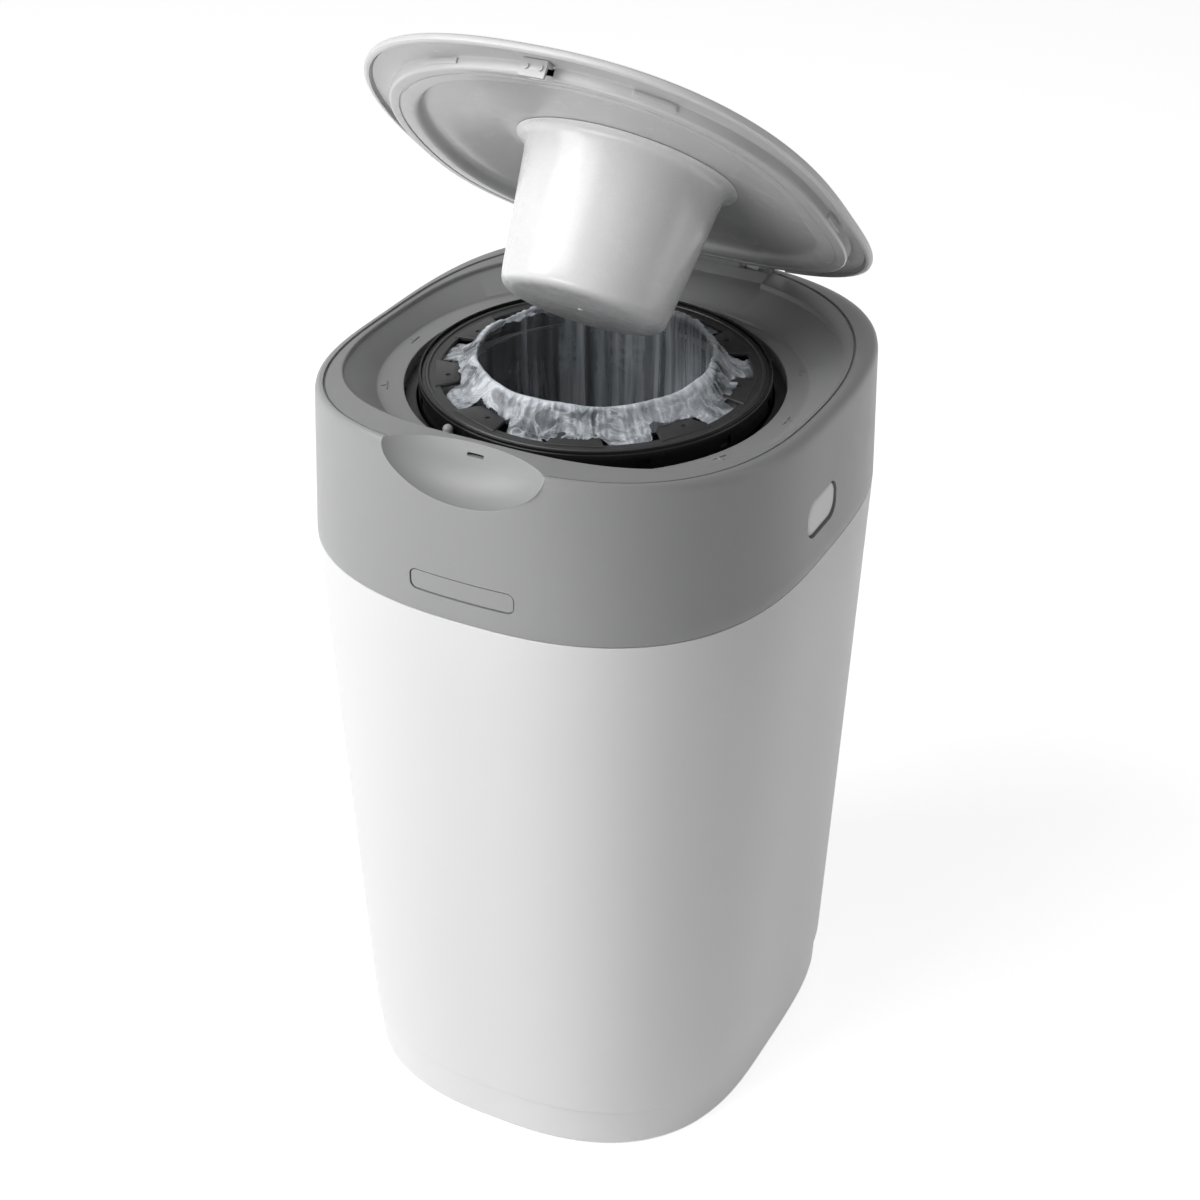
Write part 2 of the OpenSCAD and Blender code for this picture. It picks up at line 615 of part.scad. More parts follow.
// Liner: the lid's inner moulding, with its pan, groove, snap tabs and hinge arms.
module lid_liner() {
    t = liner_wall;
    flange = skin_wall + 1.2;
    color("lightgray") on_open_lid() difference() {
        union() {
            difference() {
                moulded_wall([
                    round_ring(pan_hole_radius, pan_height), pan_ring(4, 0, 0), pan_ring(1.2, 0.14, 0),
                    pan_ring(0, 0.5, 0), pan_ring(-0.8, 0.88, 0), pan_ring(-2.4, 1, 0),
                    liner_ring(6.5, -ledge_dip), liner_ring(6.3, 0.7 - ledge_dip),
                    liner_ring(5.4, 0.7 - ledge_dip), liner_ring(5.2, -ledge_dip),
                    liner_ring(1.6, -ledge_dip), liner_ring(0, 1.6 - ledge_dip),
                    liner_ring(-0.2, flange_low), rim_ring(flange, flange_low),
                    rim_ring(flange, flange_low + 1.4), liner_ring(2, flange_low + 2),
                    liner_ring(2.2, t + 0.6 - ledge_dip), pan_ring(-3, 1, t),
                    pan_ring(-2, 0.5, t), pan_ring(1, 0, t), round_ring(pan_hole_radius, pan_height + t)]);
                hinge_relief();
                translate([-catch_half_width - seat_gap, catch_front - 1,
                           rim_height + rim_saddle + rim_tilt - ledge_dip - 1])
                    cube([2 * (catch_half_width + seat_gap), 12, ledge_dip + 0.8 + flange_low]);
            }
            for (angle = [-117, -63, 0, 180, 35, 145]) {
                spot = liner_point(angle);
                ahead = liner_point(angle + 4) - liner_point(angle - 4);
                translate([spot[0], spot[1] - 1, rim_height + land_rise(angle) - 0.2])
                    rotate([0, 0, atan2(ahead[1], ahead[0])]) cube([22, 2, 2.8], center = true);
            }
            for (side = [-1, 1])
                translate([side > 0 ? arm_inner : -arm_outer, hinge_back, hinge_height])
                    rotate([90, 0, 90]) linear_extrude(height = arm_outer - arm_inner) {
                        circle(r = arm_radius);
                        polygon([[-arm_radius, 0], [-13, 2], [-13, 4.2], [-5, 4.2], [arm_radius, 0]]);
                    }
        }
        translate([0, hinge_back, hinge_height]) rotate([0, 90, 0])
            cylinder(r = hinge_pin_radius + running_gap, h = 4 * arm_outer, center = true);
    }
}

// Front catch: the springy tongue in the gap at the front of the liner.
module front_catch() {
    level = rim_height + rim_saddle + rim_tilt + flange_low - seat_gap;
    color("lightgray") on_open_lid() translate([0, catch_front, level]) {
        translate([-catch_half_width, 0, -8.4]) cube([2 * catch_half_width, 1.6, 8.4]);
        translate([-catch_half_width, 1, -1.6]) cube([2 * catch_half_width, 5.4, 1.6]);
        for (side = [-1, 1])
            translate([side * 3.6, 0.8, -3.9]) rotate([90, 0, 0]) cylinder(r = 1.4, h = 1.6);
    }
}

// Ratchet ring: the fixed ring of click teeth inside the lid.
module ratchet_ring() {
    low = pan_height + liner_wall;
    color("white") on_open_lid() translate([0, throat_back, low]) difference() {
        cylinder(r = teeth_radius + 4, h = 4);
        translate([0, 0, -1]) cylinder(r = teeth_radius - 0.4, h = 6);
        for (k = [0 : click_count - 1]) rotate([0, 0, 360 * k / click_count])
            translate([teeth_radius, 0, -1]) cylinder(r = 1.5, h = 6, $fn = 24);
    }
}

// Plunger cup: one turned moulding with its flange and the hub that passes up through the liner.
module plunger_cup() {
    wall = 2.4;
    seat = pan_height - seat_gap;
    slope = (cup_root_radius - cup_tip_radius) / (seat - 6 - cup_bottom - 9);
    color("white") on_open_lid() translate([0, throat_back, 0]) {
        rotate_extrude() polygon([
            [0, cup_bottom], [cup_tip_radius - 8.5, cup_bottom], [cup_tip_radius - 4, cup_bottom + 1.2],
            [cup_tip_radius - 1.2, cup_bottom + 4.2], [cup_tip_radius, cup_bottom + 9],
            [cup_root_radius, seat - 6], [cup_root_radius + 1.1, seat - 3.4],
            [cup_root_radius + 3.2, seat - 2], [flange_radius - 0.6, seat - 1.5], [flange_radius, seat - 1],
            [flange_radius, seat], [hub_radius, seat], [hub_radius, hub_top], [hub_radius - wall, hub_top],
            [hub_radius - wall, seat], [cup_root_radius - wall, seat - 6],
            [cup_tip_radius - wall, cup_bottom + 9], [cup_tip_radius - wall - 2, cup_bottom + 4.4],
            [cup_tip_radius - 9, cup_bottom + wall], [0, cup_bottom + wall]]);
        translate([0, 0, cup_bottom - 0.4]) cylinder(r = 1.6, h = 1, $fn = 24);
    }
}

// Grip dial: the hand recess on top of the lid, with the bar that is held to twist.
module grip_dial() {
    wall = 2.2;
    collar = hub_radius - 2.4 - seat_gap;
    dish = collar - 5;
    floor_level = lid_top - dial_depth;
    color("white") on_open_lid() translate([0, throat_back, 0]) {
        rotate_extrude() polygon([
            [0, floor_level - wall], [dish - 6, floor_level - wall], [dish - 2, floor_level + 2],
            [collar - 1.5, pan_height], [collar, pan_height + 1], [collar, lid_top - wall],
            [dial_radius - wall, lid_top - wall], [dial_radius - wall, hub_top + 1],
            [dial_radius, hub_top + 1], [dial_radius, lid_top - 0.8], [dial_radius - 0.8, lid_top],
            [dish + 1.5, lid_top], [dish, lid_top - 1.5], [dish - 4, floor_level + 2],
            [dish - 7, floor_level], [0, floor_level]]);
        translate([0, 0, floor_level - 0.5]) linear_extrude(height = dial_depth - 1) difference() {
            intersection() {
                circle(r = dish - 1);
                square([2 * dish, bar_flare], center = true);
            }
            for (side = [-1, 1])
                translate([0, side * (bow_radius + bar_width / 2)]) circle(r = bow_radius);
        }
    }
}

// Retaining ring: holds the hub up on the liner.
module retaining_ring() {
    color("silver") on_open_lid() translate([0, throat_back, pan_height + liner_wall + seat_gap])
        difference() {
            cylinder(r = hub_radius + 3, h = 2.4);
            translate([0, 0, -1]) cylinder(r = hub_radius + running_gap, h = 5);
        }
}

// Click springs: two leaf springs on the retaining ring whose tips run past the teeth.
module click_springs() {
    inside = hub_radius + 3.2;
    color("gray") on_open_lid() translate([0, throat_back, pan_height + liner_wall + 0.6])
        for (turn = [0, 180]) rotate([0, 0, turn]) {
            rotate_extrude(angle = 40) translate([inside, 0]) square([0.8, 2]);
            rotate([0, 0, 38]) translate([inside + 0.9, 0, 0]) cylinder(r = 1, h = 2, $fn = 24);
        }
}

tub();
release_tab_left();
release_tab_right();
housing();
cassette_cradle();
cassette_body();
cassette_cover();
film_pack();
film_sleeve();
cutter_ring();
cutter_knob();
cutter_blade();
hinge_pin_left();
hinge_pin_right();
lid_skin();
lid_liner();
front_catch();
ratchet_ring();
plunger_cup();
grip_dial();
retaining_ring();
click_springs();
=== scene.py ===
"""A twist-and-seal nappy bin with its lid open, built up as the real one is put together."""
from math import atan2, ceil, cos, hypot, pi, radians, sin, sqrt

import bmesh
import bpy
import numpy as np
from mathutils import Matrix, Vector, noise


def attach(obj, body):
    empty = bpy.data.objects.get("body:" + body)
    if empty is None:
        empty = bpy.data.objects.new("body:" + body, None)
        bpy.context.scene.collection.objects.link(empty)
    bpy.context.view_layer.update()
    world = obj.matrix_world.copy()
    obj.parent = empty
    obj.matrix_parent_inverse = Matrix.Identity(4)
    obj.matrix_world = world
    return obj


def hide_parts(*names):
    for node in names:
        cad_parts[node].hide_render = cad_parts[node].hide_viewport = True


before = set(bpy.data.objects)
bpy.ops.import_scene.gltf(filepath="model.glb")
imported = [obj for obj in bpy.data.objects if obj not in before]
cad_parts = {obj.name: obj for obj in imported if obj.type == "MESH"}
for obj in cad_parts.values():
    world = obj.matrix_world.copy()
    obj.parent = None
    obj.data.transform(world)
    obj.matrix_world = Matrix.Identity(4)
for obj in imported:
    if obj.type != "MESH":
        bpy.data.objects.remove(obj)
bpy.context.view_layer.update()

MM = 0.001

# ------------------------------ stage
# A pale studio floor, with soft lamps at the left, low in front, overhead and
# weakly at the right. The camera stands where the photographer stood, above
# and to the right of the front.
scene = bpy.context.scene
scene.view_settings.view_transform = "Standard"
bin_middle = Vector((0.0019, 0.0010, 0.2730))


def placed(name, data):
    made = bpy.data.objects.new(name, data)
    scene.collection.objects.link(made)
    return made


def aim(name, data, place, target=bin_middle):
    made = placed(name, data)
    made.location = place
    made.rotation_mode = "QUATERNION"
    made.rotation_quaternion = (Vector(target) - Vector(place)).to_track_quat("-Z", "Y")
    return made


SENSOR_WIDTH, FOCAL_PIXELS, PHOTO_PIXELS = 36.0, 2436.6, 1200
camera_data = bpy.data.cameras.new("camera")
camera_data.sensor_width = SENSOR_WIDTH
camera_data.lens = SENSOR_WIDTH * FOCAL_PIXELS / PHOTO_PIXELS
scene.camera = aim("camera", camera_data, (0.5031, -0.9754, 0.9699))


def soft_lamp(name, place, size, power, target=bin_middle):
    data = bpy.data.lights.new(name, "AREA")
    data.shape = "RECTANGLE"
    data.size, data.size_y = size
    data.energy = power
    aim(name, data, place, target)


soft_lamp("key_left", (-1.25, -1.10, 1.18), (0.9, 1.1), 15.5)
soft_lamp("low_front", (-0.40, -1.68, 0.20), (0.9, 0.4), 6.5)
soft_lamp("top_softbox", (-0.50, -0.95, 1.65), (0.9, 0.9), 11.0, (0, -0.05, 0.42))
soft_lamp("fill_right", (1.55, 0.70, 0.70), (0.7, 1.5), 4.2)


class Wire:
    """An output socket of a node tree. Sums on wires add their own Math nodes."""

    def __init__(self, tree, socket=None):
        self.tree, self.socket = tree, socket

    def feed(self, node, sockets):
        """Puts a value, or a link from a wire, on each of a node's sockets."""
        for name, value in sockets.items():
            if isinstance(value, Wire):
                self.tree.links.new(value.socket, node.inputs[name])
            else:
                node.inputs[name].default_value = value

    def add(self, kind, sockets=None, out=0, **settings):
        made = self.tree.nodes.new(kind if "Node" in kind else "ShaderNode" + kind)
        for name, value in settings.items():
            setattr(made, name, value)
        self.feed(made, sockets or {})
        return Wire(self.tree, made.outputs[out])

    def maths(self, operation, a, b=0.0):
        return self.add("Math", {0: a, 1: b}, operation=operation)

    def __add__(self, other):
        return self.maths("ADD", self, other)

    def __sub__(self, other):
        return self.maths("SUBTRACT", self, other)

    def __rsub__(self, other):
        return self.maths("SUBTRACT", other, self)

    def __mul__(self, other):
        return self.maths("MULTIPLY", self, other)

    def __truediv__(self, other):
        return self.maths("DIVIDE", self, other)

    def __pow__(self, other):
        return self.maths("POWER", self, other)

    __radd__, __rmul__ = __add__, __mul__

    def __abs__(self):
        return self.maths("ABSOLUTE", self)

    def mottled(self, scale, detail, **more):
        """A noise texture on this wire's coordinates."""
        return self.add("TexNoise", {"Vector": self, "Scale": scale, "Detail": detail, **more})

    def blend(self, a, b):
        """Colour a where this wire is 0 and colour b where it is 1."""
        return self.add("Mix", {0: self, 6: a, 7: b}, out=2, data_type="RGBA")


def new_finish(name):
    """A material with one Principled shader: the material, the shader's node and a loose wire."""
    material = bpy.data.materials.new(name)
    material.use_nodes = True
    tree = material.node_tree
    return material, tree.nodes["Principled BSDF"], Wire(tree)


def grey(level, tint=(0.0, 0.0, 0.0)):
    return (*(level + part for part in tint), 1.0)


def moulded(name, level, tint=(0.0, 0.0, 0.0), rough=0.42, grain=0.25, grain_scale=2600.0,
            flow=0.03, specular=0.5, coat=0.0):
    """Injection-moulded plastic: a fine eroded grain, faint flow marks and slightly uneven gloss."""
    material, shader, wire = new_finish(name)
    where = wire.add("TexCoord", out=3)
    cloud = where.mottled(9.0, 3.0, Roughness=0.55)
    speck = where.mottled(grain_scale, 1.0, Roughness=0.6)
    smear = where.mottled(60.0, 4.0, Roughness=0.6)
    low, high = level * (1 - flow), level * (1 + flow)
    tone = (cloud * 0.75 + speck * 0.25).blend(grey(low, tint), grey(high, tint))
    gloss = rough + (smear - 0.5) * 0.12 + (speck - 0.5) * 0.1
    bump = wire.add("Bump", {"Strength": grain, "Distance": 0.00012, "Height": speck + smear * 0.2})
    wire.feed(shader, {"Base Color": tone, "Roughness": gloss, "Normal": bump,
                       "Specular IOR Level": specular, "Coat Weight": coat, "Coat Roughness": 0.12})
    return material


def backdrop(wire, mirrored):
    """1 for the camera and through clear film, a share in mirrors, 0 for light on the bin."""
    seen, glossy, passed = (wire.add("LightPath", out=k) for k in (0, 3, 6))
    return wire.maths("MAXIMUM", wire.maths("MAXIMUM", seen, glossy * mirrored), passed)


FLOOR_HALF, FLOOR_LEVEL = 9.0, -0.0005
floor_finish, floor_shader, wire = new_finish("studio_floor")
paper = wire.add("TexCoord", out=3).mottled(30.0, 2.0)
wire.feed(floor_shader, {"Roughness": 0.9, "Base Color": paper.blend(grey(0.80), grey(0.83))})
glow = wire.add("Emission", {"Color": (1, 1, 1, 1), "Strength": backdrop(wire, 1.0) * 0.75})
added = wire.add("AddShader", {0: Wire(wire.tree, floor_shader.outputs[0]), 1: glow})
wire.feed(wire.tree.nodes["Material Output"], {"Surface": added})
floor_mesh = bpy.data.meshes.new("studio_floor")
floor_mesh.from_pydata([(x * FLOOR_HALF, y * FLOOR_HALF, FLOOR_LEVEL)
                        for x, y in ((-1, -1), (1, -1), (1, 1), (-1, 1))], [], [(0, 1, 2, 3)])
floor_mesh.materials.append(floor_finish)
floor = placed("studio_floor", floor_mesh)

world = bpy.data.worlds.new("studio")
scene.world = world
world.use_nodes = True
wire = Wire(world.node_tree)
wire.feed(world.node_tree.nodes["Background"],
          {"Color": (1, 1, 1, 1), "Strength": 0.14 + backdrop(wire, 0.6) * 0.86})

# ------------------------------ tub
# One tall white moulding in polypropylene. It tapers to a narrower foot with
# a plain band round it, and carries a neck over which the top unit's skirt fits.
SEAM = (129.3, 140.0, 2.94, 0.4)
BASE = (111.5, 124.5, 3.35, 0.72)
RIM = (121.5, 134.3, 2.63, 0.0)
SHOULDER = (127.3, 140.0, 2.88, 0.52)
SEAM_HEIGHT, SHOULDER_DROP, WALL = 339.0, 8.0, 2.4
RIM_FORWARD, RIM_HEIGHT, RIM_SADDLE, RIM_TILT = 1.35, 419.9, 3.75, 3.8


def ring(sizes, inset, height, forward=0.0, saddle=0.0):
    """One outline: half width, half depth, power, shift in y, height, share of the rim's saddle
    and how much the power grows towards the back."""
    width, depth, power, squarer = sizes
    return np.array([width - inset, depth - inset, power, -forward, height, saddle, squarer], float)


def at_height(outline, height):
    made = outline.copy()
    made[4:6] = height, 0.0
    return made


def between(a, b, share):
    return a * (1 - share) + b * share


def tub_ring(inset, height):
    return at_height(between(ring(BASE, inset, 0), ring(SEAM, inset, 0), height / SEAM_HEIGHT), height)


def rim_ring(inset, rise):
    return ring(RIM, inset, RIM_HEIGHT + rise, RIM_FORWARD, 1.0)


def shoulder_ring(inset, rise):
    return ring(SHOULDER, inset, RIM_HEIGHT + rise, 0.0, 1.0)


def skirt_ring(inset, share):
    return between(ring(SEAM, inset, SEAM_HEIGHT), shoulder_ring(inset, -SHOULDER_DROP), share)


def neck_ring(inset, height):
    share = (height - SEAM_HEIGHT) / (RIM_HEIGHT - SHOULDER_DROP - SEAM_HEIGHT)
    return at_height(skirt_ring(WALL + 0.4 + inset, share), height)


def gap_between(a, b):
    return hypot(a[1] + a[3] - b[1] - b[3], a[4] - b[4])


def softened(corners, closed=True, steps=5, gap=gap_between):
    """Outlines with each corner turned into a curve. Corners are (outline, size of the curve in mm)."""
    made, count = [], len(corners)
    for k, (here, size) in enumerate(corners):
        if not size or (not closed and k in (0, count - 1)):
            made.append(here)
            continue
        ends = [between(here, other, min(0.48, size / max(gap(here, other), 1e-6)))
                for other in (corners[k - 1][0], corners[(k + 1) % count][0])]
        made += [(1 - t) ** 2 * ends[0] + 2 * t * (1 - t) * here + t * t * ends[1]
                 for t in np.linspace(0, 1, steps)]
    return made


def flowing(outlines, steps=5):
    """Outlines on one smooth curve that passes through the given ones."""
    made = []
    for k in range(len(outlines) - 1):
        p0, p1, p2 = outlines[max(k - 1, 0)], outlines[k], outlines[k + 1]
        p3 = outlines[min(k + 2, len(outlines) - 1)]
        for t in np.arange(steps) / steps:
            made.append(0.5 * (2 * p1 + (p2 - p0) * t + (2 * p0 - 5 * p1 + 4 * p2 - p3) * t ** 2
                               + (3 * p1 - p0 - 3 * p2 + p3) * t ** 3))
    return made + [outlines[-1]]


def stepped(a, b, step):
    """Outlines from a up to b, not itself, at most step mm apart."""
    count = max(1, ceil(gap_between(a, b) / step))
    return [between(a, b, k / count) for k in range(count)]


def traced(outlines, angles):
    """The points of the outlines in mm, as rows by columns by 3."""
    a, b, power, shift, height, saddle, squarer = np.array(outlines).T[:, :, None]
    c, s = np.cos(angles)[None, :], np.sin(angles)[None, :]
    power = power + squarer * s
    reach = ((np.abs(c) / a) ** power + (np.abs(s) / b) ** power) ** (-1 / power)
    rise = -RIM_TILT * s - RIM_SADDLE * np.cos(2 * angles)[None, :]
    return np.stack([reach * c, reach * s + shift, height + saddle * rise + 0 * reach], -1)


def grid_faces(rows, columns, closed_rows):
    """Quads of a grid that closes round its columns, and round its rows too on a hollow wall."""
    faces = []
    for k in range(rows if closed_rows else rows - 1):
        low, high = k * columns, (k + 1) % rows * columns
        faces += [(low + i, low + (i + 1) % columns, high + (i + 1) % columns, high + i)
                  for i in range(columns)]
    if not closed_rows:
        faces += [tuple(range(columns - 1, -1, -1)),
                  tuple((rows - 1) * columns + i for i in range(columns))]
    return faces


def shade(made, bend=32.0):
    made.data.shade_smooth()
    made.data.set_sharp_from_angle(angle=radians(bend))


def finished(made, bend=32.0, matrix=None):
    """The piece with doubles merged, faces turned outwards, put in place and shaded."""
    shape = bmesh.new()
    shape.from_mesh(made.data)
    bmesh.ops.remove_doubles(shape, verts=shape.verts, dist=1e-6)
    bmesh.ops.recalc_face_normals(shape, faces=shape.faces)
    shape.to_mesh(made.data)
    shape.free()
    if matrix is not None:
        made.data.transform(matrix)
    shade(made, bend)
    return made


def piece(name, points, faces, material=None, bend=32.0, matrix=None):
    """A mesh object at the origin from points in mm. A tool that is used up has no material."""
    mesh = bpy.data.meshes.new(name)
    mesh.from_pydata((np.asarray(points).reshape(-1, 3) * MM).tolist(), [], faces)
    if material:
        mesh.materials.append(material)
    return finished(placed(name, mesh), bend, matrix)


def settle(made):
    """Puts the result of a piece's modifiers into its own mesh."""
    bpy.context.view_layer.update()
    mesh = bpy.data.meshes.new_from_object(made.evaluated_get(bpy.context.evaluated_depsgraph_get()))
    made.modifiers.clear()
    made.data = mesh
    return made


def new_form(name, **sizes):
    """A Geometry Nodes tree that takes a mesh, named sizes and a finish: the tree and its inputs."""
    tree = bpy.data.node_groups.new(name, "GeometryNodeTree")
    for label, kind in {"Mesh": "Geometry", **sizes, "Finish": "Material"}.items():
        tree.interface.new_socket(label, in_out="INPUT", socket_type="NodeSocket" + kind)
    tree.interface.new_socket("Result", in_out="OUTPUT", socket_type="NodeSocketGeometry")
    start = tree.nodes.new("NodeGroupInput")
    return tree, {socket.name: Wire(tree, socket) for socket in start.outputs if socket.name}


def bevelled(made, width, segments=2, angle=30.0):
    """Rounds the piece's edges that bend by more than the angle. The width is in mm."""
    change = made.modifiers.new("edge", "BEVEL")
    change.width, change.segments = width * MM, segments
    change.limit_method, change.angle_limit = "ANGLE", radians(angle)
    shade(settle(made))


def end_form(tree, given, mesh):
    """The end of every such tree: real geometry with the finish on it."""
    real = mesh.add("GeometryNodeRealizeInstances", {0: mesh})
    real = mesh.add("GeometryNodeSetMaterial", {"Geometry": real, "Material": given["Finish"]})
    tree.links.new(real.socket, tree.nodes.new("NodeGroupOutput").inputs[0])


def formed(made, tree, **values):
    """The piece as its tree makes it from the values, as a plain mesh."""
    change = made.modifiers.new("form", "NODES")
    change.node_group = tree
    for socket in tree.interface.items_tree:
        if socket.in_out == "INPUT" and socket.name in values:
            change[socket.identifier] = values[socket.name]
    return settle(made)


# A wall round the axis whose outlines are squared ovals. Each point of the mesh
# that comes in is one outline and carries its sizes.
oval_wall, given = new_form("oval_wall", Rows="Int", Columns="Int", Saddle="Float", Tilt="Float")
wire = Wire(oval_wall)
stride = given["Columns"] + 1
grid = wire.add("GeometryNodeMeshGrid", {"Vertices X": given["Rows"], "Vertices Y": stride})
index = wire.add("GeometryNodeInputIndex")
row = wire.maths("FLOOR", index / stride)
turn = (index - row * stride) * (2 * pi) / given["Columns"]
OUTLINE_SIZES = ("half_width", "half_depth", "power", "shift", "height", "saddle", "squarer")
told = {}
for size in OUTLINE_SIZES:
    kept = wire.add("GeometryNodeInputNamedAttribute", {"Name": size}, data_type="FLOAT")
    sampled = {"Geometry": given["Mesh"], "Value": kept, "Index": row}
    told[size] = wire.add("GeometryNodeSampleIndex", sampled, data_type="FLOAT", domain="POINT")
cosine, sine = wire.maths("COSINE", turn), wire.maths("SINE", turn)
power = told["power"] + told["squarer"] * sine
across = (abs(cosine) / told["half_width"]) ** power
deep = (abs(sine) / told["half_depth"]) ** power
reach = (across + deep) ** wire.maths("DIVIDE", -1.0, power)
rise = wire.maths("COSINE", turn * 2) * given["Saddle"] + sine * given["Tilt"]
place = wire.add("CombineXYZ", {0: reach * cosine, 1: reach * sine + told["shift"],
                                2: told["height"] - told["saddle"] * rise})
end_form(oval_wall, given, wire.add("GeometryNodeSetPosition", {"Geometry": grid, "Position": place}))
WALL_COLUMNS = 360


def walled(name, outlines, material, closed=True, matrix=None):
    """A wall that follows its outlines. An open one ends in a flat face at either end."""
    if closed:
        rows = np.array(list(outlines) + [outlines[0]])
    else:
        rows = np.array([outlines[0]] + list(outlines) + [outlines[-1]])
        rows[[0, -1], :2] = 0.0005
    rows[:, [0, 1, 3, 4]] *= MM
    mesh = bpy.data.meshes.new(name)
    mesh.from_pydata([(0.0, 0.0, 0.001 * k) for k in range(len(rows))], [], [])
    for size, column in zip(OUTLINE_SIZES, rows.astype(np.float32).T):
        mesh.attributes.new(size, "FLOAT", "POINT").data.foreach_set("value", column.copy())
    made = placed(name, mesh)
    formed(made, oval_wall, Rows=len(rows), Columns=WALL_COLUMNS, Saddle=RIM_SADDLE * MM,
           Tilt=RIM_TILT * MM, Finish=material)
    return finished(made, matrix=matrix)


def worked(made, tool, operation="DIFFERENCE", bend=32.0):
    """The piece with a tool's shape cut from it or joined to it. The tool is used up."""
    change = made.modifiers.new("worked", "BOOLEAN")
    change.operation, change.solver, change.object = operation, "EXACT", tool
    settle(made)
    bpy.data.objects.remove(tool)
    shade(made, bend)
    return made


def block(low, high):
    """Points and faces of a box between two corners in mm."""
    points = [[(low, high)[(k >> axis) & 1][axis] for axis in range(3)] for k in range(8)]
    return points, [(0, 2, 3, 1), (4, 5, 7, 6), (0, 1, 5, 4), (2, 6, 7, 3), (0, 4, 6, 2), (1, 3, 7, 5)]


def mirrored_blocks(low, high):
    """The box between two corners and its like on the left side."""
    left = [[-high[0], *low[1:]], [-low[0], *high[1:]]]
    return [block(*left), block(low, high)]


def prism(outline, axis, low, high):
    """Points and faces of an outline in mm pushed along x, y or z."""
    count = len(outline)
    points = [np.insert(p, axis, height) for height in (low, high) for p in outline]
    return points, grid_faces(2, count, False)


def gathered(parts):
    """Several lists of points and faces as one."""
    points, faces = [], []
    for some, sides in parts:
        faces += [tuple(len(points) + k for k in face) for face in sides]
        points += [list(p) for p in some]
    return points, faces


def rounded_box(width, height, radius, steps=10):
    """Corners of a rounded rectangle about its middle."""
    made = []
    for x, y, turn in ((1, 1, 0), (-1, 1, 90), (-1, -1, 180), (1, -1, 270)):
        for t in np.radians(np.linspace(turn, turn + 90, steps)):
            made.append((x * (width / 2 - radius) + radius * cos(t),
                         y * (height / 2 - radius) + radius * sin(t)))
    return made


def all_round(count):
    return np.linspace(0, 2 * pi, count, endpoint=False)


def circle(radius, count, middle):
    return [(middle[0] + radius * cos(t), middle[1] + radius * sin(t)) for t in all_round(count)]


tub_white = moulded("tub_white", 0.75, rough=0.40, grain=0.12, grain_scale=1800.0, flow=0.008)
shoulder, neck_top = SEAM_HEIGHT - 0.3, SEAM_HEIGHT + 17
tub = walled("tub_shell", softened([
    (tub_ring(14, 2), 0), (tub_ring(12, 0), 0.8), (tub_ring(1.2, 0), 4.5), (tub_ring(1.2, 26), 0.5),
    (tub_ring(0, 27), 0.6), *[(tub_ring(0, z), 0) for z in range(60, 330, 45)],
    (tub_ring(0, shoulder), 0.6), (neck_ring(0, shoulder), 0.4), (neck_ring(0, neck_top), 0.9),
    (neck_ring(2.2, neck_top), 0.9), (neck_ring(2.5, shoulder - 4), 2),
    (tub_ring(2.6, shoulder - 12), 2), (tub_ring(2.6, 4.6), 8), (tub_ring(16, 4.6), 0)],
    closed=False), tub_white, closed=False)
worked(tub, piece("neck_gaps", *gathered(mirrored_blocks(
    (SEAM[0] - 12, -26.0, shoulder + 2.3), (SEAM[0] + 12, 13.0, neck_top + 2)))))
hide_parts("tub")
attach(tub, "tub")

# ------------------------------ release tabs
# Springy white tongues beside the neck. Their rounded pads show in the side
# windows of the top unit and are pressed in to let it go.
WINDOW_LEVEL, WINDOW_MIDDLE, TONGUE_FACE, PAD_FACE = 366.5, -6.5, 123.9, 127.9
PAD_WIDTH, PAD_HEIGHT, PAD_CORNER = 33.4, 19.4, 7.4
PAD_ROUNDING = ((TONGUE_FACE - 1.1, 0.0), (PAD_FACE - 0.9, 0.0), (PAD_FACE - 0.25, -0.7),
                (PAD_FACE, -2.2), (PAD_FACE - 0.12, -6.0))
tab_white = moulded("tab_white", 0.78, rough=0.34, grain=0.08, flow=0.01)
for side, body in ((-1, "left"), (1, "right")):
    pad = [[(side * x, y * (1 + back / 16) + WINDOW_MIDDLE, z * (1 + back / 9) + WINDOW_LEVEL)
            for y, z in rounded_box(PAD_WIDTH, PAD_HEIGHT, PAD_CORNER)] for x, back in PAD_ROUNDING]
    tab = piece("release_tab_" + body + "_piece", *block(
        (side * (TONGUE_FACE - 2.2), WINDOW_MIDDLE - 18.5, SEAM_HEIGHT + 2.3),
        (side * TONGUE_FACE, WINDOW_MIDDLE + 18.5, WINDOW_LEVEL + 13.5)), tab_white)
    worked(tab, piece("pad", pad, grid_faces(len(pad), len(pad[0]), False), tab_white), "UNION")
    bevelled(tab, 0.25, angle=50.0)
    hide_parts("release_tab_" + body)
    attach(tab, "tab_" + body)

# ------------------------------ top unit housing
# One grey moulding from the skirt over the rounded shoulder to the shelf. The
# rim rises at the front and back, a thin groove runs round it for the lid's
# edge, and a finger scoop is sunk into its front. The nameplate is a bare recess.
MOUTH = (117.8, 116.8, 2.6, 0.0)
SHELF = (108.0, 100.6, 2.25, 0.0)
SHELF_HEIGHT, SHELF_LOW, SHELF_HOLE = 405.5, 405.5 - WALL, 96.5
HINGE = HINGE_BACK, HINGE_HEIGHT = 130.05, 420.9
PLATE = (57.0, 11.5, 4.0, 356.5)
SCOOP_MIDDLE = np.array([0.0, -141.65, 431.45])
SCOOP_SIZE = np.array([47.0, 21.5, 28.5])


def mouth_ring(inset, rise):
    return ring(MOUTH, inset, RIM_HEIGHT + rise, 0.0, 1.0)


def shelf_ring(inset, height):
    return ring(SHELF, inset, height, 2.5)


def round_ring(radius, height):
    return ring((radius, radius, 2.0, 0.0), 0.0, height)


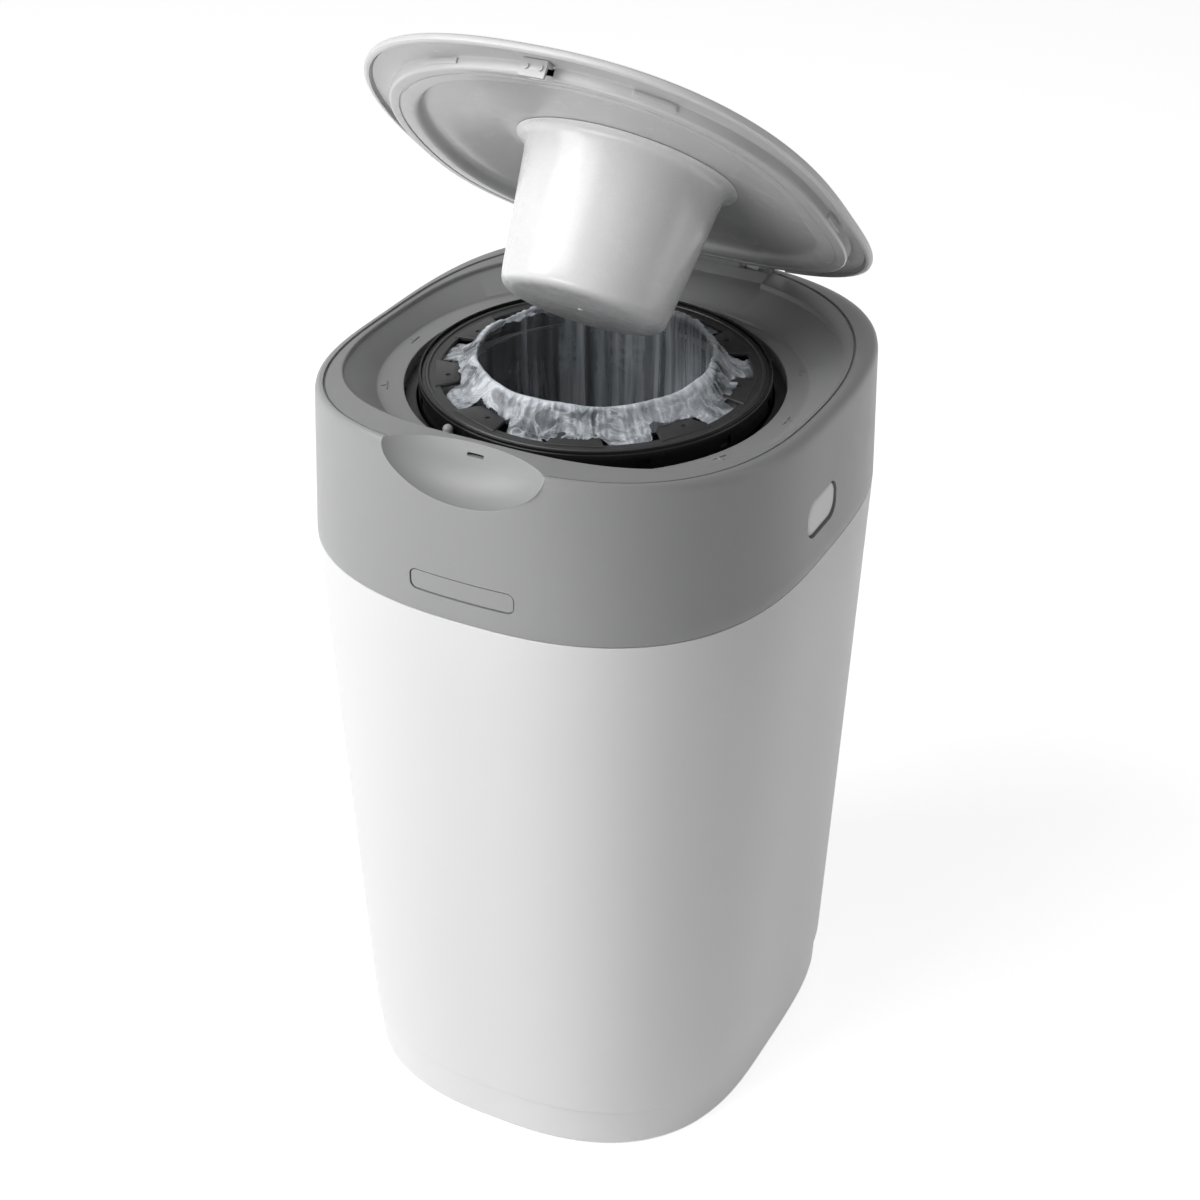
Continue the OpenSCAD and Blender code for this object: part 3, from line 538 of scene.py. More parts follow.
def pressed(points, sizes, softness):
    """Points inside an oval bowl pushed out to its surface, with a slightly rounded edge."""
    away = points - SCOOP_MIDDLE
    depth = np.linalg.norm(away / sizes, axis=-1)
    kept = 1 + softness * np.logaddexp(0, (depth - 1) / softness)
    return SCOOP_MIDDLE + away * (kept / depth)[..., None]


outer_skin = [ring(SEAM, inset, SEAM_HEIGHT + rise) for inset, rise in ((0.5, 0), (0.1, 0.2), (0, 0.6))]
outer_skin += [skirt_ring(0, share) for share in np.linspace(0.1, 0.7, 7)]
outer_skin += stepped(skirt_ring(0, 0.72), skirt_ring(0, 0.99), 0.85)
outer_skin += flowing([skirt_ring(0, 1)] + [
    between(rim_ring(0, -drop * SHOULDER_DROP), shoulder_ring(0, -drop * SHOULDER_DROP), out)
    for out, drop in ((0.94, 0.62), (0.76, 0.31), (0.42, 0.09))] + [rim_ring(0, 0)], 5)
groove = softened([(rim_ring(0.15, -1.5), 0.15), (rim_ring(1.05, -1.5), 0.15),
                   (rim_ring(1.3, -0.35), 0.25)], False, 3)
land = stepped(rim_ring(1.6, -0.35), mouth_ring(-2.4, -0.45), 0.85)
well = softened([
    (mouth_ring(-2, -0.45), 0), (mouth_ring(-0.1, -0.5), 1.1), (mouth_ring(0.1, -3), 0.8),
    (shelf_ring(-0.4, SHELF_HEIGHT + 1.6), 0), (shelf_ring(0.8, SHELF_HEIGHT), 1.2),
    (round_ring(SHELF_HOLE + 4, SHELF_HEIGHT), 0), (round_ring(SHELF_HOLE, SHELF_HEIGHT), 0.6),
    (round_ring(SHELF_HOLE, SHELF_LOW), 0.3)], False)
under = [shelf_ring(1, SHELF_LOW), shelf_ring(-WALL, SHELF_HEIGHT),
         mouth_ring(-WALL, -5.2), mouth_ring(-WALL - 0.6, -3.4)]
under += stepped(mouth_ring(-WALL - 0.8, -3.2), rim_ring(0.9, -3.1), 1.6)
under += stepped(rim_ring(0.9, -3.1), skirt_ring(WALL, 1), 1.2)
under += stepped(skirt_ring(WALL, 1), skirt_ring(WALL, 0.7), 1.6)
under += [skirt_ring(WALL, 0.7), skirt_ring(WALL, 0.3), ring(SEAM, WALL, SEAM_HEIGHT + 0.6),
          ring(SEAM, WALL - 0.3, SEAM_HEIGHT)]
# The columns stand closer together across the scoop.
round_housing = np.radians(np.concatenate([np.arange(-113, -67, 0.4), np.arange(-67, 247, 1.25)]))
shown_rows = len(outer_skin) + len(groove) + len(land) + len(well)
shell = traced(outer_skin + groove + land + well + under, round_housing)
shell[:shown_rows] = pressed(shell[:shown_rows], SCOOP_SIZE, 0.010)
shell[shown_rows:] = pressed(shell[shown_rows:], SCOOP_SIZE + 2.2, 0.02)

housing_grey = moulded("housing_grey", 0.325, tint=(0.0, 0.001, 0.003), rough=0.36, grain=0.5,
                       grain_scale=2200.0, specular=0.38)
housing = piece("top_housing", shell, grid_faces(*shell.shape[:2], True), housing_grey)

block_half, block_front, block_low = 39.7, HINGE_BACK - 8.2, HINGE_HEIGHT - 5.8
ears = [prism(circle(4.8, 48, HINGE), 0, low, low + 3.8) for low in (21.8, 33.4, -25.6, -37.2)]
worked(housing, piece("hinge_notch", *block((-block_half, block_front - 22, block_low),
                                            (block_half, block_front + 0.01, 440))))
for name, shape in (
        ("hinge_block", block((-block_half, block_front, block_low),
                              (block_half, HINGE_BACK + 3, HINGE_HEIGHT + 0.6))),
        ("notch_floor", block((-block_half - 1.5, 117.4, block_low - 2.4),
                              (block_half + 1.5, HINGE_BACK - 1, block_low))),
        ("hinge_ears", gathered(ears))):
    worked(housing, piece(name, *shape), "UNION")


def plate_slab(inset, near, far):
    """A curved slab behind the nameplate's outline, between two depths under the front wall."""
    width, height, radius, level = PLATE
    width, height, radius = width / 2 - inset, height / 2 - inset, radius - inset
    share = (level - SEAM_HEIGHT) / (RIM_HEIGHT - SHOULDER_DROP - SEAM_HEIGHT)
    wall = traced([skirt_ring(0, share)], np.radians(np.arange(-120, -60, 0.5)))[0]
    end = width - radius * (1 - np.cos(np.linspace(np.pi / 2, 0, 9)))
    rows = []
    for x in np.concatenate([-end[::-1], np.linspace(radius - width, width - radius, 24)[1:-1], end]):
        inside = max(0.0, abs(x) - (width - radius))
        half = height - radius + sqrt(max(radius ** 2 - inside ** 2, 0.0))
        front = float(np.interp(x, wall[:, 0], wall[:, 1]))
        rows.append([(x, y, level + z) for y, z in ((front + far, -half), (front + far, half),
                                                    (front + near, half), (front + near, -half))])
    return [p for row in rows for p in row], grid_faces(len(rows), 4, False)


cuts = [prism([(y + WINDOW_MIDDLE, z + WINDOW_LEVEL) for y, z in rounded_box(35, 21, 8)], 0,
              side * SEAM[0] - 6, side * SEAM[0] + 6) for side in (-1, 1)]
cuts += mirrored_blocks((25.6, HINGE_BACK - 7, HINGE_HEIGHT - 5.5),
                        (33.4, HINGE_BACK + 15, HINGE_HEIGHT + 17.5))
cuts += [plate_slab(0, -6, 1.3),
         prism([(x, z + 421.0) for x, z in rounded_box(9, 1.8, 0.8, 5)], 1, -125.8, -113.8)]
worked(housing, piece("housing_cuts", *gathered(cuts)))
worked(housing, piece("nameplate", *plate_slab(0.75, 0.45, 1.9)), "UNION")
worked(housing, piece("pin_bore", *prism(circle(2.05, 32, HINGE), 0, -100, 100)))
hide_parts("housing")
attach(housing, "top_unit")

# Small raised ribs on the shelf show where the well under it is clipped in.
rib_parts = []
for x, y in ((-103.3, -4.4), (-89.8, -54.4), (-87, 42), (88.5, 53.2), (103.5, 2.0), (89.6, -46.5)):
    turn = atan2(y, x)
    for half, swing, out in ((4.25, pi / 2, 0.0), (1.6, 0.35, 1.6)):
        spun = Matrix.Rotation(turn + swing, 4, "Z")
        corners, sides = block((-half, -0.35, SHELF_HEIGHT - 0.3), (half, 0.35, SHELF_HEIGHT + 0.55))
        shift = Vector((x + out * cos(turn), y + out * sin(turn), 0))
        rib_parts.append(([tuple(spun @ Vector(p) + shift) for p in corners], sides))
ribs = piece("shelf_ribs", *gathered(rib_parts), housing_grey)
bevelled(ribs, 0.18)
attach(ribs, "top_unit")

# ------------------------------ cassette and its well
# A grey well hangs under the shelf. The refill cassette in it is glossy black,
# with a charcoal cover whose inner edge is cut into nine tabs; the film comes
# out between them.
CASE_TOP = SHELF_HEIGHT + 6.5
CASE_FLOOR, COVER_LEVEL = CASE_TOP - 92, CASE_TOP - 3.3
CASE_RADIUS, CORE_RADIUS = 89.3, 63.0


def eased(corners, closed=True, steps=5):
    """A polygon of (x, y, size of the curve) with its corners rounded."""
    return softened([(np.array([x, y], float), size) for x, y, size in corners], closed, steps,
                    lambda here, other: np.linalg.norm(other - here))


def turned(name, outline, material=None, matrix=None, columns=240, middle=(0.0, 0.0)):
    """A piece turned round an upright axis. An outline that ends on the axis closes there."""
    outline, angles = np.array(outline, float), all_round(columns)
    on_axis = outline[0][0] == 0 and outline[-1][0] == 0
    rows = outline[1:-1] if on_axis else outline
    points = np.stack([rows[:, :1] * np.cos(angles) + middle[0],
                       rows[:, :1] * np.sin(angles) + middle[1], rows[:, 1:] + 0 * angles], -1)
    return piece(name, points, grid_faces(*points.shape[:2], not on_axis), material, matrix=matrix)


cradle_grey = moulded("cradle_grey", 0.30, rough=0.5, grain=0.3)
cradle_out, cradle_in, cradle_low = 99.0, 96.8, CASE_FLOOR - WALL
ledge, core_gap, heel = 394.2, CORE_RADIUS + 1.2, CASE_RADIUS + 0.3
cradle = turned("cassette_well", eased([
    (core_gap, cradle_low, 0.5), (cradle_out, cradle_low, 3), (cradle_out, SHELF_LOW - 3, 0.4),
    (cradle_out + 1.5, SHELF_LOW - 3, 0.4), (cradle_out + 1.5, SHELF_LOW, 0.2),
    (cradle_in, SHELF_LOW, 0.4), (cradle_in, ledge, 0.2), (cradle_in - 3, ledge, 0.4),
    (cradle_in - 3, ledge - 1.4, 0.3), (cradle_in, ledge - 3, 0.5), (cradle_in, CASE_FLOOR, 1.5),
    (heel + 1.7, CASE_FLOOR, 0.4), (heel + 1.6, CASE_FLOOR + 4, 0.4), (heel, CASE_FLOOR + 4, 0.4),
    (heel, CASE_FLOOR, 0.2), (core_gap, CASE_FLOOR, 0.5)]), cradle_grey)
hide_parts("cassette_cradle")
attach(cradle, "top_unit")

cassette_black = moulded("cassette_black", 0.009, rough=0.22, grain=0.05, flow=0.15, specular=0.3)
inner, lip_out, lip_in = CASE_RADIUS - 2.2, CASE_RADIUS - 0.5, CASE_RADIUS - 1.6
core_out, core_top, case_bed = CORE_RADIUS + 2.2, COVER_LEVEL - 3.4, CASE_FLOOR + 2.2
cassette = turned("cassette_case", eased([
    (CORE_RADIUS, CASE_FLOOR, 0.6), (CASE_RADIUS, CASE_FLOOR, 1.2), (CASE_RADIUS, CASE_TOP - 1.9, 0.3),
    (lip_out, CASE_TOP - 1.6, 0.3), (lip_out, CASE_TOP, 0.45), (lip_in, CASE_TOP, 0.45),
    (lip_in, COVER_LEVEL, 0.2), (inner - 0.6, COVER_LEVEL, 0.3), (inner - 0.6, COVER_LEVEL - 2, 0.3),
    (inner, COVER_LEVEL - 4, 0.5), (inner, case_bed, 1.2), (core_out, case_bed, 1.2),
    (core_out, core_top, 1.0), (CORE_RADIUS, core_top, 0.8)]), cassette_black, columns=288)

# Repeats a shape at even steps round the bin's axis.
spread_round, given = new_form("spread_round", Count="Int", Start="Float")
wire = Wire(spread_round)
spots = wire.add("GeometryNodeMeshLine", {"Count": given["Count"], "Offset": (0, 0, 0)})
turn = given["Start"] + wire.add("GeometryNodeInputIndex") * (2 * pi) / given["Count"]
end_form(spread_round, given, wire.add("GeometryNodeInstanceOnPoints", {
    "Points": spots, "Instance": given["Mesh"], "Rotation": wire.add("CombineXYZ", {2: turn})}))

notches = piece("notches", *block((CASE_RADIUS - 1.2, -3.5, CASE_TOP - 10.5),
                                  (CASE_RADIUS + 2, 3.5, CASE_TOP - 5.5)))
worked(cassette, formed(notches, spread_round, Count=12, Start=radians(12)))
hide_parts("cassette_body")
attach(cassette, "top_unit")

cover_charcoal = moulded("cover_charcoal", 0.045, rough=0.36, grain=0.35, grain_scale=1500.0, flow=0.1)
cover_rim, cover_inner, cover_top = CASE_RADIUS - 1.7, CASE_RADIUS - 10.2, COVER_LEVEL + 1.7
cover = turned("cassette_cover_ring", eased([
    (cover_inner, COVER_LEVEL, 0.3), (cover_rim, COVER_LEVEL, 0.3), (cover_rim, cover_top, 0.4),
    (cover_rim - 1.7, cover_top + 0.05, 0.2), (cover_rim - 2.2, cover_top + 0.8, 0.3),
    (cover_rim - 3.4, cover_top + 0.8, 0.3), (cover_rim - 3.8, cover_top, 0.3),
    (cover_inner, cover_top, 0.4)]), cover_charcoal, columns=288)
COVER_TABS, TAB_START = 9, 10.0
tab_shape = [(cover_inner + 1.5, -14.5), (cover_inner - 2.0, -13.2), (71, -10.6), (70, -10.5),
             (68.4, -8.9), (68, -8)]
tab_shape += [(x, -y) for x, y in reversed(tab_shape)]
cover_tab = piece("cover_tab", *prism(tab_shape, 2, COVER_LEVEL, COVER_LEVEL + 2.3), cover_charcoal)
bevelled(cover_tab, 0.5, 3, 60.0)
dimple_top, dimple_low = COVER_LEVEL + 3, COVER_LEVEL + 1.6
worked(cover_tab, turned("cover_dimple", [(0, dimple_low), (1.3, dimple_low), (1.6, dimple_top),
                                          (0, dimple_top)], columns=24, middle=(74.0, 3.0)))
worked(cover, formed(cover_tab, spread_round, Count=COVER_TABS, Start=radians(TAB_START),
                     Finish=cover_charcoal), "UNION", 40)
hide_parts("cassette_cover")
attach(cover, "top_unit")

# ------------------------------ film
# Thin translucent film. Metres of it are stored in pleats in the cassette; its
# end is drawn up between the cover's tabs, over the core, down the throat in
# soft folds, and is tied in a knot below.
KNOT_HEIGHT, COLLAR_TOP = 248.5, COVER_LEVEL + 12.6


def film_finish(name):
    """Film that is nearly clear where it hangs smooth, and milky in folds and where bunched."""
    material, shader, wire = new_finish(name)
    where = wire.add("TexCoord", out=3)
    x, y, z = (wire.add("SeparateXYZ", {0: where}, out=k) for k in range(3))
    radius = (x * x + y * y) ** 0.5
    run = wire.add("CombineXYZ", {0: x / radius * 0.06, 1: y / radius * 0.06, 2: (radius + z) * 0.045})
    # Outside the throat the film is bunched, and along the collar's edge it is at its whitest.
    bunched = wire.add("MapRange", {0: radius, 1: 0.0588, 2: 0.0602}, interpolation_type="SMOOTHSTEP")
    brim = wire.add("MapRange", {0: z, 1: (COLLAR_TOP - 2.3) * MM, 2: (COLLAR_TOP - 0.3) * MM, 4: 0.45})
    streak = run.mottled(110.0, 3.0, Roughness=0.55)
    crease = where.mottled(75.0, 4.0, Roughness=0.55, Distortion=1.2)
    haze = where.mottled(45.0, 2.0)
    fall = (1 - abs(streak * 2 - 1)) ** 6.0
    ridge = (1 - abs(crease * 2 - 1)) ** 7.0
    thick = wire.add("MapRange", {0: run.mottled(26.0, 1.0), 1: 0.42, 2: 0.62})
    hung = fall * (0.08 + thick * 0.34) + thick * 0.12 + 0.09
    puckered = ridge * 0.6 + fall * 0.12 + haze * 1.4 - 0.55
    wire.feed(shader, {
        "Base Color": haze.blend((0.60, 0.67, 0.72, 1), (0.85, 0.87, 0.92, 1)),
        "Alpha": wire.add("Mix", {0: bunched, 2: hung, 3: puckered}) + brim,
        "Normal": wire.add("Bump", {"Strength": bunched * 0.35 + 0.06, "Distance": 0.0012,
                                    "Height": streak + ridge * 0.4}),
        "Roughness": 0.24, "Specular IOR Level": 0.45})
    return material


film_clear = film_finish("film_clear")
film_packed = moulded("film_packed", 0.62, tint=(-0.02, 0.0, 0.02), rough=0.35, grain=0.8,
                      grain_scale=600.0, flow=0.1)

PACK_PLEATS = 9
pack_in, pack_out, pack_high = core_out + 1, inner - 1, COVER_LEVEL - 12
pleat = (pack_high - case_bed) / PACK_PLEATS
pack_line = [(pack_in, case_bed, 0.5)]
for k in range(PACK_PLEATS):
    pack_line += [(pack_out, case_bed + pleat * (k + 0.25), 0.8),
                  (pack_out - 2, case_bed + pleat * (k + 0.9), 0.8)]
film_pack = turned("film_pack_pleats", eased(pack_line + [(pack_in, pack_high, 0.5)]), film_packed)
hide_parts("film_pack")
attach(film_pack, "top_unit")

knot_drop = KNOT_HEIGHT - COVER_LEVEL
film_path = np.array([
    # radius, height over the cover, share of the crumples, share of the long folds
    [80.4, -0.9, 0.3, 0], [78.5, -0.2, 0.7, 0], [76, 0.4, 0.9, 0], [73, 0.9, 1, 0], [70.5, 1.6, 1, 0],
    [68.5, 2.9, 1, 0], [66.4, 5, 1, 0], [64.2, 8, 0.9, 0], [62.2, 10.8, 0.7, 0], [60.6, 12.2, 0.5, 0.1],
    [59.5, 12.6, 0.4, 0.2], [58.8, 11.9, 0.25, 0.3], [58.5, 9.5, 0.1, 0.5], [58.7, 4, 0.05, 0.7],
    [59, -6, 0.03, 0.9], [59.2, -14, 0.03, 1], [59.2, -26, 0.03, 1.1], [58.6, -40, 0.03, 1.2],
    [56.5, -58, 0.03, 1.4], [51, -78, 0.05, 1.7], [41, -100, 0.1, 1.9], [28, -122, 0.15, 1.8],
    [13.5, knot_drop + 18, 0.1, 1], [6, knot_drop + 11, 0.1, 0.35], [4.5, knot_drop + 8, 0, 0.2]])
film_path[:, 1] += COVER_LEVEL
FILM_COLUMNS = 720
around = np.linspace(0, 360, FILM_COLUMNS, endpoint=False)
distance = np.concatenate([[0], np.cumsum(np.hypot(*np.diff(film_path[:, :2], axis=0).T))])
COLLAR_RUN = 34
along = np.concatenate([np.arange(0, COLLAR_RUN, 0.5), np.arange(COLLAR_RUN, distance[-1], 2.2),
                        distance[-1:]])
line = np.stack([np.interp(along, distance, column) for column in film_path.T])
for _ in range(2):
    line[:, 1:-1] = 0.25 * line[:, :-2] + 0.5 * line[:, 1:-1] + 0.25 * line[:, 2:]
radius, height, crumpled, folded = line[:, :, None]

# Long folds hang in loose groups round the throat, narrow on the right and broad on the left.
rng = np.random.default_rng(11)
folds = 0 * around
for group, count, narrow, wide in (
        (20, 15, 0.7, 1.5), (62, 12, 0.8, 1.8), (105, 6, 1.6, 4.0), (150, 7, 1.2, 3.6),
        (195, 7, 1.0, 3.0), (240, 7, 1.4, 4.0), (290, 8, 1.2, 3.2), (335, 10, 0.9, 2.2)):
    for middle in group + rng.normal(0, 14, count):
        width = rng.uniform(narrow, wide)
        away = (around - middle + 180) % 360 - 180
        folds += rng.uniform(0.5, 1.0) * np.exp(-(away / width) ** 2)
folds = np.minimum(folds, 1.5)

# Nearer the cassette the film stands up in loose pleats that run outwards between the cover's tabs.
turn = np.radians(around)
spots = [Vector((cos(angle), sin(angle), 0)) for angle in turn]


def crinkles(size, lift):
    """One uneven wave round the film, from minus 1 to 1."""
    return np.array([noise.noise(spot * size + Vector((0, 0, lift))) for spot in spots])


stand_up, brim_wave, fine = crinkles(14.0, 2.0), crinkles(2.6, 7.0), crinkles(31.0, 4.0)
crumple = 1.6 * (1 - 2 * np.abs(stand_up)) + 0.5 * fine - 1.0
crumple = crumple + 1.3 * np.array([crinkles(9.0, r * 0.2) for r in line[0]])

# The cover's tabs hold the film down. It laps over the inner end of each by a different length.
LAPS = (72.0, 69.0, 71.5, 70.0, 68.9, 69.2, 68.3, 75.0, 68.6)
TAB_STEP, TAB_HALF, TORN_ROWS = 360 / COVER_TABS, 10.6, 70
past_tab = around - TAB_START + TAB_STEP / 2
from_tab = np.abs(past_tab % TAB_STEP - TAB_STEP / 2)
lap = np.array(LAPS)[(past_tab % 360 // TAB_STEP).astype(int)]
lap = lap + 0.9 * np.sin(np.radians(around * 13)) + 0.6 * np.sin(np.radians(around * 31 + 40))
over = np.interp(from_tab, [0, 9.2, 10.8, 20], [1, 1, 0, 0])
outside = np.interp(line[0], [58.9, 61.0], [0.0, 1.0])[:, None]
climb = over * outside * np.clip(COVER_LEVEL + 2.7 - height, 0, 3.5)
standing = np.interp(line[1], [COVER_LEVEL + 2, COVER_LEVEL + 12], [0.0, 1.0])[:, None]
film_z = height + climb + outside * crumpled * crumple * 0.8 + standing * 2.2 * brim_wave
film_r = radius + standing * (outside * crumpled * crumple * 0.7 + 1.2 * np.roll(brim_wave, 150))
film_r = np.maximum(film_r - (1 - outside) * np.maximum(folds * 1.15 * folded, -0.6), 2.2)
film_points = np.stack([film_r * np.cos(turn), film_r * np.sin(turn), film_z], -1)
ragged = np.zeros((len(along), FILM_COLUMNS))
ragged[:TORN_ROWS] = [crinkles(5.0, r * 0.22) for r in line[0, :TORN_ROWS]]
slit = TAB_HALF + np.clip((radius - 69.5) * 0.35, 0, 3.0) * (1.0 + 1.6 * ragged)
held = (from_tab < np.maximum(slit, TAB_HALF)) & (radius > lap)
held = held & np.roll(held, -1, axis=1)
film_faces = [face for face, gone in zip(grid_faces(len(along), FILM_COLUMNS, False),
                                         held[:-1].ravel()) if not gone]
film = piece("film_sleeve_sheet", film_points, film_faces, film_clear, 180)
loose = bmesh.new()
loose.from_mesh(film.data)
bmesh.ops.delete(loose, geom=[v for v in loose.verts if not v.link_faces], context="VERTS")
loose.to_mesh(film.data)
loose.free()

KNOT_COLUMNS, KNOT_ROWS = 72, 30
turn = all_round(KNOT_COLUMNS)
knot_rows = []
for share in np.linspace(0, 1, KNOT_ROWS):
    swell = 4.2 + 3.0 * sin(pi * share) ** 0.7 if share < 0.62 else 3.2 + 3.4 * (share - 0.62) / 0.38
    wrinkle = 0.45 * np.sin(9 * turn + 14 * share) + 0.25 * np.sin(23 * turn - 9 * share)
    r = np.minimum(swell + wrinkle, 6.8) if 0 < share < 1 else 0 * turn + 1.5
    knot_rows.append(np.stack([r * np.cos(turn), r * np.sin(turn),
                               0 * turn + KNOT_HEIGHT + 9.8 - 18.6 * share], -1))
knot = piece("film_knot", knot_rows, grid_faces(KNOT_ROWS, KNOT_COLUMNS, False), film_packed, 60)
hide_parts("film_sleeve")
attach(film, "top_unit")
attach(knot, "top_unit")

# ------------------------------ cutter
# A grey carrier ring that slides round the cassette, with a rounded peg to
# push and a small steel point under it.
PEG_TURN, PEG_RADIUS, PEG_TOP = radians(-90 - 22.7), 2.5, CASE_TOP - 0.5
CUTTER_LOW, CUTTER_TOP = 394.5, 399.0
cutter_in, cutter_out = CASE_RADIUS + 1.1, cradle_in - 0.5
peg_orbit = (cutter_in + cutter_out) / 2
carrier_grey = moulded("carrier_grey", 0.05, rough=0.45, grain=0.3)
cutter_ring = turned("cutter_carrier", eased([
    (cutter_in, CUTTER_LOW, 0.4), (cutter_out, CUTTER_LOW, 0.4), (cutter_out, CUTTER_TOP, 0.6),
    (cutter_in, CUTTER_TOP, 0.6)]), carrier_grey)
knob_grey = moulded("knob_grey", 0.40, rough=0.36, grain=0.15)
peg_line = [(0, CUTTER_LOW + 0.5), (1.5, CUTTER_LOW + 0.5), (1.5, CUTTER_TOP), (PEG_RADIUS, CUTTER_TOP)]
peg_line += [(PEG_RADIUS * cos(t), PEG_TOP - PEG_RADIUS + PEG_RADIUS * sin(t))
             for t in np.linspace(0, pi / 2, 12)[:-1]] + [(0, PEG_TOP)]
peg = turned("cutter_peg", peg_line, knob_grey, columns=40,
             middle=(peg_orbit * cos(PEG_TURN), peg_orbit * sin(PEG_TURN)))
for made, node, slot in ((cutter_ring, "cutter_ring", "cradle_grey"), (peg, "cutter_knob", "knob_grey")):
    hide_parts(node)
    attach(made, "cutter")

# ------------------------------ lid skin
# The pale outer shell of the lid, domed towards the dial in its middle. It is
# drawn shut and then turned open round the hinge.
LID_OPEN, LID_TOP = 40.3, 441.4
hinge_point = Vector((0, HINGE_BACK, HINGE_HEIGHT)) * MM
opened = (Matrix.Translation(hinge_point) @ Matrix.Rotation(-radians(LID_OPEN), 4, "X")
               @ Matrix.Translation(-hinge_point))
SKIN_WALL, DIAL_RADIUS = 2.2, 56.4


def crown_ring(share, lift, inset, drop):
    edge, top = rim_ring(0.2 + inset, 4.4), round_ring(DIAL_RADIUS + 0.6, LID_TOP - drop)
    made = between(edge, top, share)
    made[4] = (1 - lift) * (edge[4] - drop / 2) + lift * top[4]
    made[5] = 1 - lift
    return made


def relief():
    return piece("hinge_relief", *prism(circle(6.0, 48, HINGE), 0, -48, 48), matrix=opened)


CROWN = ((0.06, 0.11), (0.16, 0.26), (0.32, 0.5), (0.55, 0.78))
crown_out = flowing([rim_ring(-0.7, 2.6)]
                    + [crown_ring(*step, 0, 0) for step in ((0, 0), *CROWN, (0.97, 1))], 6)
crown_in = flowing([crown_ring(*step, SKIN_WALL, SKIN_WALL) for step in CROWN[:0:-1]]
                   + [crown_ring(*CROWN[0], SKIN_WALL, 1.6), rim_ring(SKIN_WALL + 0.4, 2.9),
                      rim_ring(SKIN_WALL - 0.5, 2.0)], 4)
skin_edge = softened([(rim_ring(SKIN_WALL - 0.1, 0.5), 0.5), (rim_ring(0.9, 0.5), 0.4),
                      (rim_ring(-0.4, 1.2), 0.6)], False)
lid_skin_grey = moulded("lid_skin", 0.68, rough=0.36, grain=0.12, flow=0.01)
lid_skin = walled("lid_outer_skin", skin_edge + crown_out + [
    crown_ring(1, 1, 0, 0.4), crown_ring(1, 1, 0, SKIN_WALL)] + crown_in, lid_skin_grey, matrix=opened)
worked(lid_skin, relief())
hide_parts("lid_skin")
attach(lid_skin, "lid")

# ------------------------------ lid liner
# The inner moulding of the lid: a skirt with long snap tabs, a ledge with a
# thin groove, the pan sunk inside it, a gap for the front catch, and the two
# hinge arms.
LINER = (112.9, 114.9, 2.5, 0.0)
LINER_WALL, PAN_HEIGHT, PAN_HOLE = 2.2, 425.5, 54.6
LEDGE_DIP, FLANGE_LOW, PAN_DEPTH = 4.0, 2.2, 5.4


def liner_ring(inset, rise):
    return ring(LINER, inset, RIM_HEIGHT + rise, 1.0, 1.0)


def pan_ring(inset, share, lift):
    return liner_ring(14.5 + inset, (1 - share) * PAN_DEPTH - LEDGE_DIP + lift)


flange, groove_top, pan_back = SKIN_WALL + 1.2, 0.7 - LEDGE_DIP, PAN_HEIGHT + LINER_WALL
pan = softened([
    (round_ring(PAN_HOLE, PAN_HEIGHT), 0), (round_ring(61, PAN_HEIGHT), 4), (pan_ring(9, -0.06, 0), 9),
    (pan_ring(3, 0, 0), 2), (pan_ring(0.9, 0.16, 0), 1.2), (pan_ring(-0.4, 0.8, 0), 1.4),
    (pan_ring(-1.8, 1, 0.3), 1), (pan_ring(-3.4, 1, 0), 0.9), (liner_ring(6.5, -LEDGE_DIP), 0.25),
    (liner_ring(6.3, groove_top), 0.2), (liner_ring(5.4, groove_top), 0.2),
    (liner_ring(5.2, -LEDGE_DIP), 0.25), (liner_ring(0.2, -LEDGE_DIP), 1.7),
    (liner_ring(-0.2, FLANGE_LOW), 0.7), (rim_ring(flange, FLANGE_LOW), 0.4)], False)
liner_back = [
    rim_ring(flange, FLANGE_LOW + 1.4), liner_ring(2, FLANGE_LOW + 2),
    liner_ring(2.2, LINER_WALL + 0.6 - LEDGE_DIP), pan_ring(-3, 1, LINER_WALL),
    pan_ring(-2, 0.5, LINER_WALL), pan_ring(1, 0, LINER_WALL - 0.6), round_ring(61, pan_back),
    round_ring(PAN_HOLE, pan_back)]
liner_grey = moulded("liner_grey", 0.58, rough=0.25, grain=0.08, flow=0.012)
liner = walled("lid_inner_liner", pan + liner_back, liner_grey, matrix=opened)
worked(liner, relief())
latch_level, catch_front = RIM_HEIGHT + RIM_SADDLE + RIM_TILT, -123.65
worked(liner, piece("latch_gap", *block((-6.8, catch_front - 1, latch_level - 5),
                                        (6.8, catch_front + 11, latch_level + 2)), matrix=opened))
arm = [(HINGE_BACK + y, HINGE_HEIGHT + z) for y, z in
       [(4.2 * cos(t), 4.2 * sin(t)) for t in np.radians(np.arange(-180, 71, 10))]
       + [(-5, 4.2), (-13, 4.2), (-13, 2)]]
arms = [prism(arm, 0, low, low + 7) for low in (-33, 26)]
worked(liner, piece("hinge_arms", *gathered(arms), matrix=opened), "UNION")
worked(liner, piece("arm_bore", *prism(circle(2.1, 32, HINGE), 0, -60, 60), matrix=opened))
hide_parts("lid_liner")
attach(liner, "lid")

# Long snap tabs stand on the liner's skirt, each a plain raised plate; the slot at one end is not cut.
snap_parts = []
for angle in (-117, -63, 0, 180, 35, 145):
    spots = np.radians(np.linspace(angle - 5.0, angle + 5.0, 13))
    edges = traced([liner_ring(1.0, -1.6), liner_ring(-1.0, -1.5), liner_ring(-1.0, 1.1),
                    liner_ring(1.0, 1.2)], spots)
    snap_parts.append((edges.transpose(1, 0, 2).reshape(-1, 3), grid_faces(len(spots), 4, False)))
snaps = piece("liner_snap_tabs", *gathered(snap_parts), liner_grey, matrix=opened)
bevelled(snaps, 0.3)
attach(snaps, "lid")

